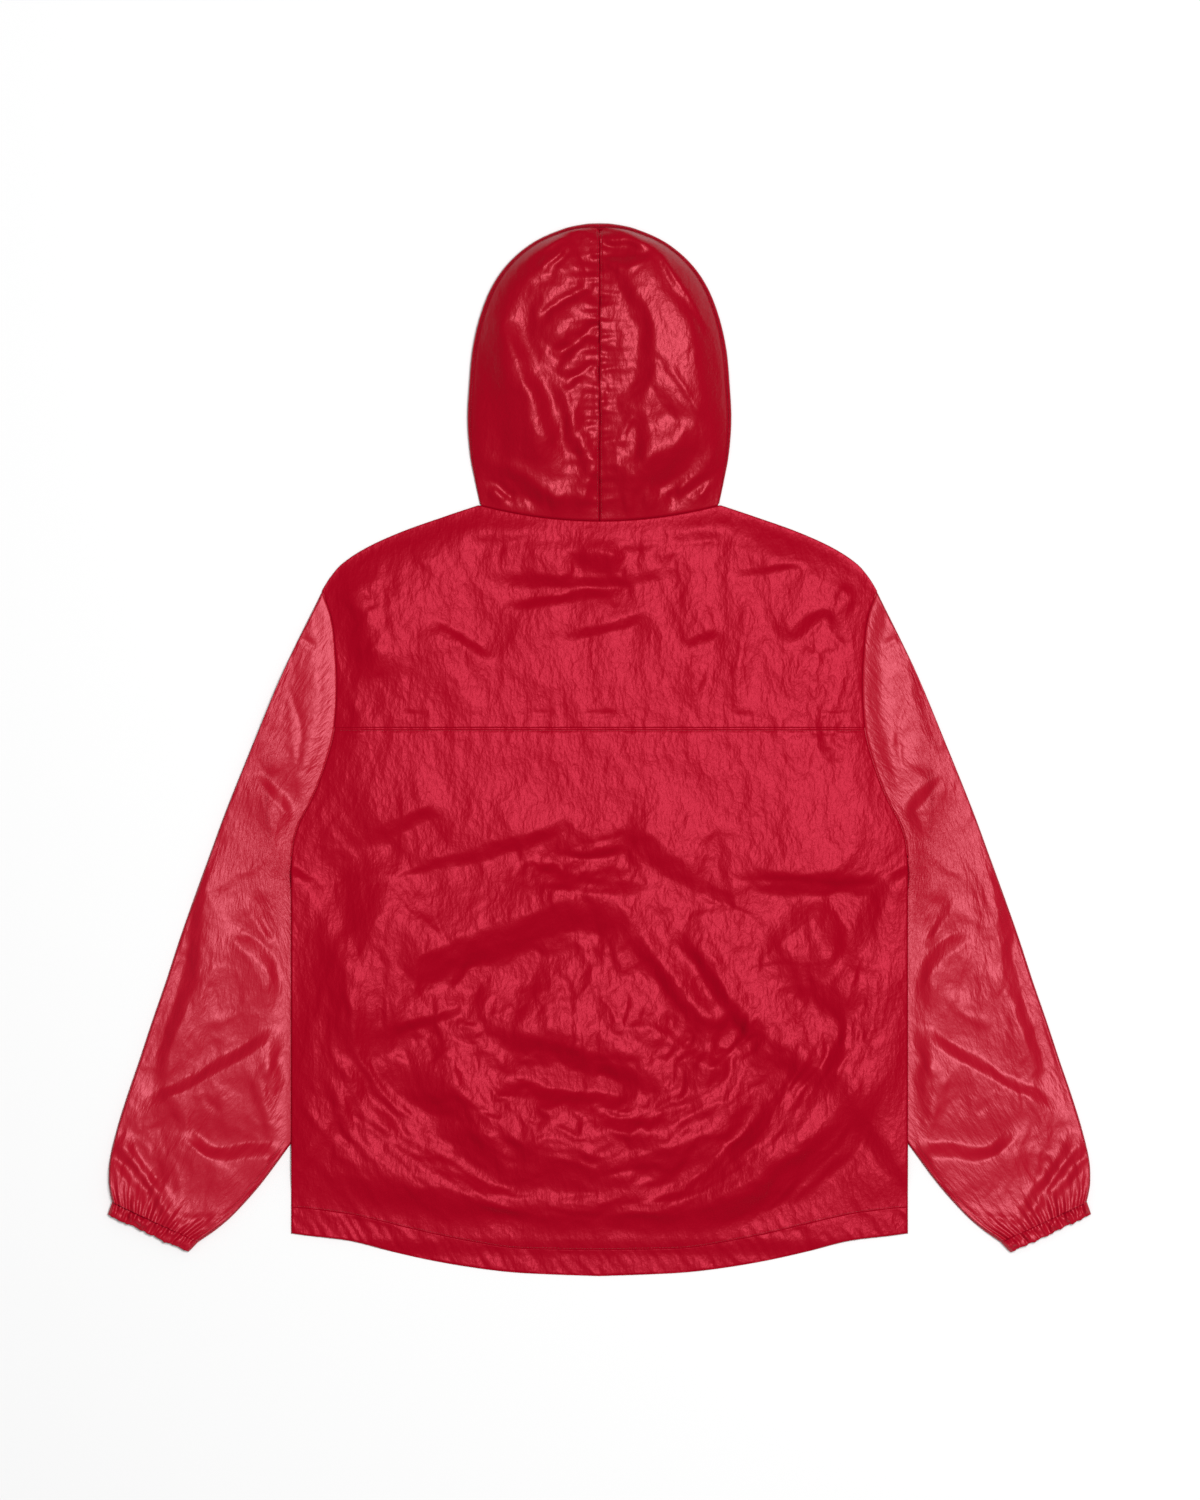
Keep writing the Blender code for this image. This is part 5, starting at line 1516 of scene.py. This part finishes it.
# ---------------------------------------------------------------- stage, lamps and camera
def make_stage():
    """The plain pale surface that the garment lies on."""
    bpy.ops.mesh.primitive_plane_add(size=FLOOR_SIZE, location=(0, 0, -FLOOR_DROP))
    floor = bpy.context.object
    floor.name = "floor"
    material, shader = new_material("paper_floor", (FLOOR_GREY, FLOOR_GREY, FLOOR_GREY), 1.0)
    shader.inputs["Specular IOR Level"].default_value = 0.0
    floor.data.materials.append(material)


def make_softbox():
    """A square lamp high up, to the right and towards the hood, that shines straight down."""
    lamp = bpy.data.lights.new("overhead", "AREA")
    lamp.shape = "SQUARE"
    lamp.size = LAMP_SIZE
    lamp.energy = LAMP_WATTS
    holder = add_object("overhead", lamp)
    holder.location = LAMP_PLACE
    holder.visible_camera = False


def make_dome():
    """Soft light from all round, brightest overhead."""
    world = bpy.data.worlds.new("studio")
    bpy.context.scene.world = world
    world.use_nodes = True
    nodes = world.node_tree.nodes
    links = world.node_tree.links
    direction = nodes.new("ShaderNodeTexCoord")
    parts = nodes.new("ShaderNodeSeparateXYZ")
    links.new(direction.outputs["Generated"], parts.inputs["Vector"])

    def calculate(operation, first, second):
        step = nodes.new("ShaderNodeMath")
        step.operation = operation
        links.new(first, step.inputs[0])
        step.inputs[1].default_value = second
        return step.outputs["Value"]

    upward = calculate("MAXIMUM", parts.outputs["Z"], 0.0)
    overhead = calculate("POWER", upward, DOME_POWER)
    overhead = calculate("MULTIPLY", overhead, DOME_TOP)
    strength = calculate("ADD", overhead, DOME_SIDE)
    nodes["Background"].inputs["Color"].default_value = (1, 1, 1, 1)
    links.new(strength, nodes["Background"].inputs["Strength"])


def make_camera():
    """The camera, straight above, with the photo's frame."""
    camera = bpy.data.cameras.new("camera")
    camera.sensor_width = CAMERA_SENSOR
    camera.lens = CAMERA_SENSOR * CAMERA_HEIGHT / (PHOTO_HEIGHT * METRES_PER_PIXEL)
    camera.clip_end = CAMERA_REACH
    holder = add_object("camera", camera)
    holder.location = CAMERA_PLACE
    bpy.context.scene.camera = holder


def make_parka():
    """All the pieces, the two sides one after the other."""
    cloth = nylon_material(BODY_NYLON)
    # the sleeves' copy of the nylon, painted lighter for the light that they catch
    sleeve_cloth_painted_lighter = nylon_material(SLEEVE_NYLON_PAINTED_LIGHTER)
    hood_cloth = nylon_material(HOOD_NYLON)
    thread = thread_material(SEWING_THREAD)
    make_back_yoke(cloth)
    make_back_lower(cloth)
    make_hem_back(cloth)
    make_back_stitches(thread)
    make_front_zip(thread_material(WOVEN_TAPE))
    make_zip_teeth(thread_material(MOULDED_TEETH))
    for side_name, side in (("left", -1), ("right", 1)):
        make_front(side_name, side, cloth)
        make_hem_front(side_name, side, cloth)
        underarm = make_sleeve(side_name, side, sleeve_cloth_painted_lighter)
        make_stitches("underarm_" + side_name + "_stitches", underarm, thread)
        make_cuff(side_name, side, sleeve_cloth_painted_lighter)
        crown_seam = make_hood_half(side_name, side, hood_cloth)
        make_stitches("hood_" + side_name + "_stitches", crown_seam, thread)


bpy.context.scene.view_settings.view_transform = "Standard"
make_stage()
make_dome()
make_softbox()
make_camera()
make_parka()
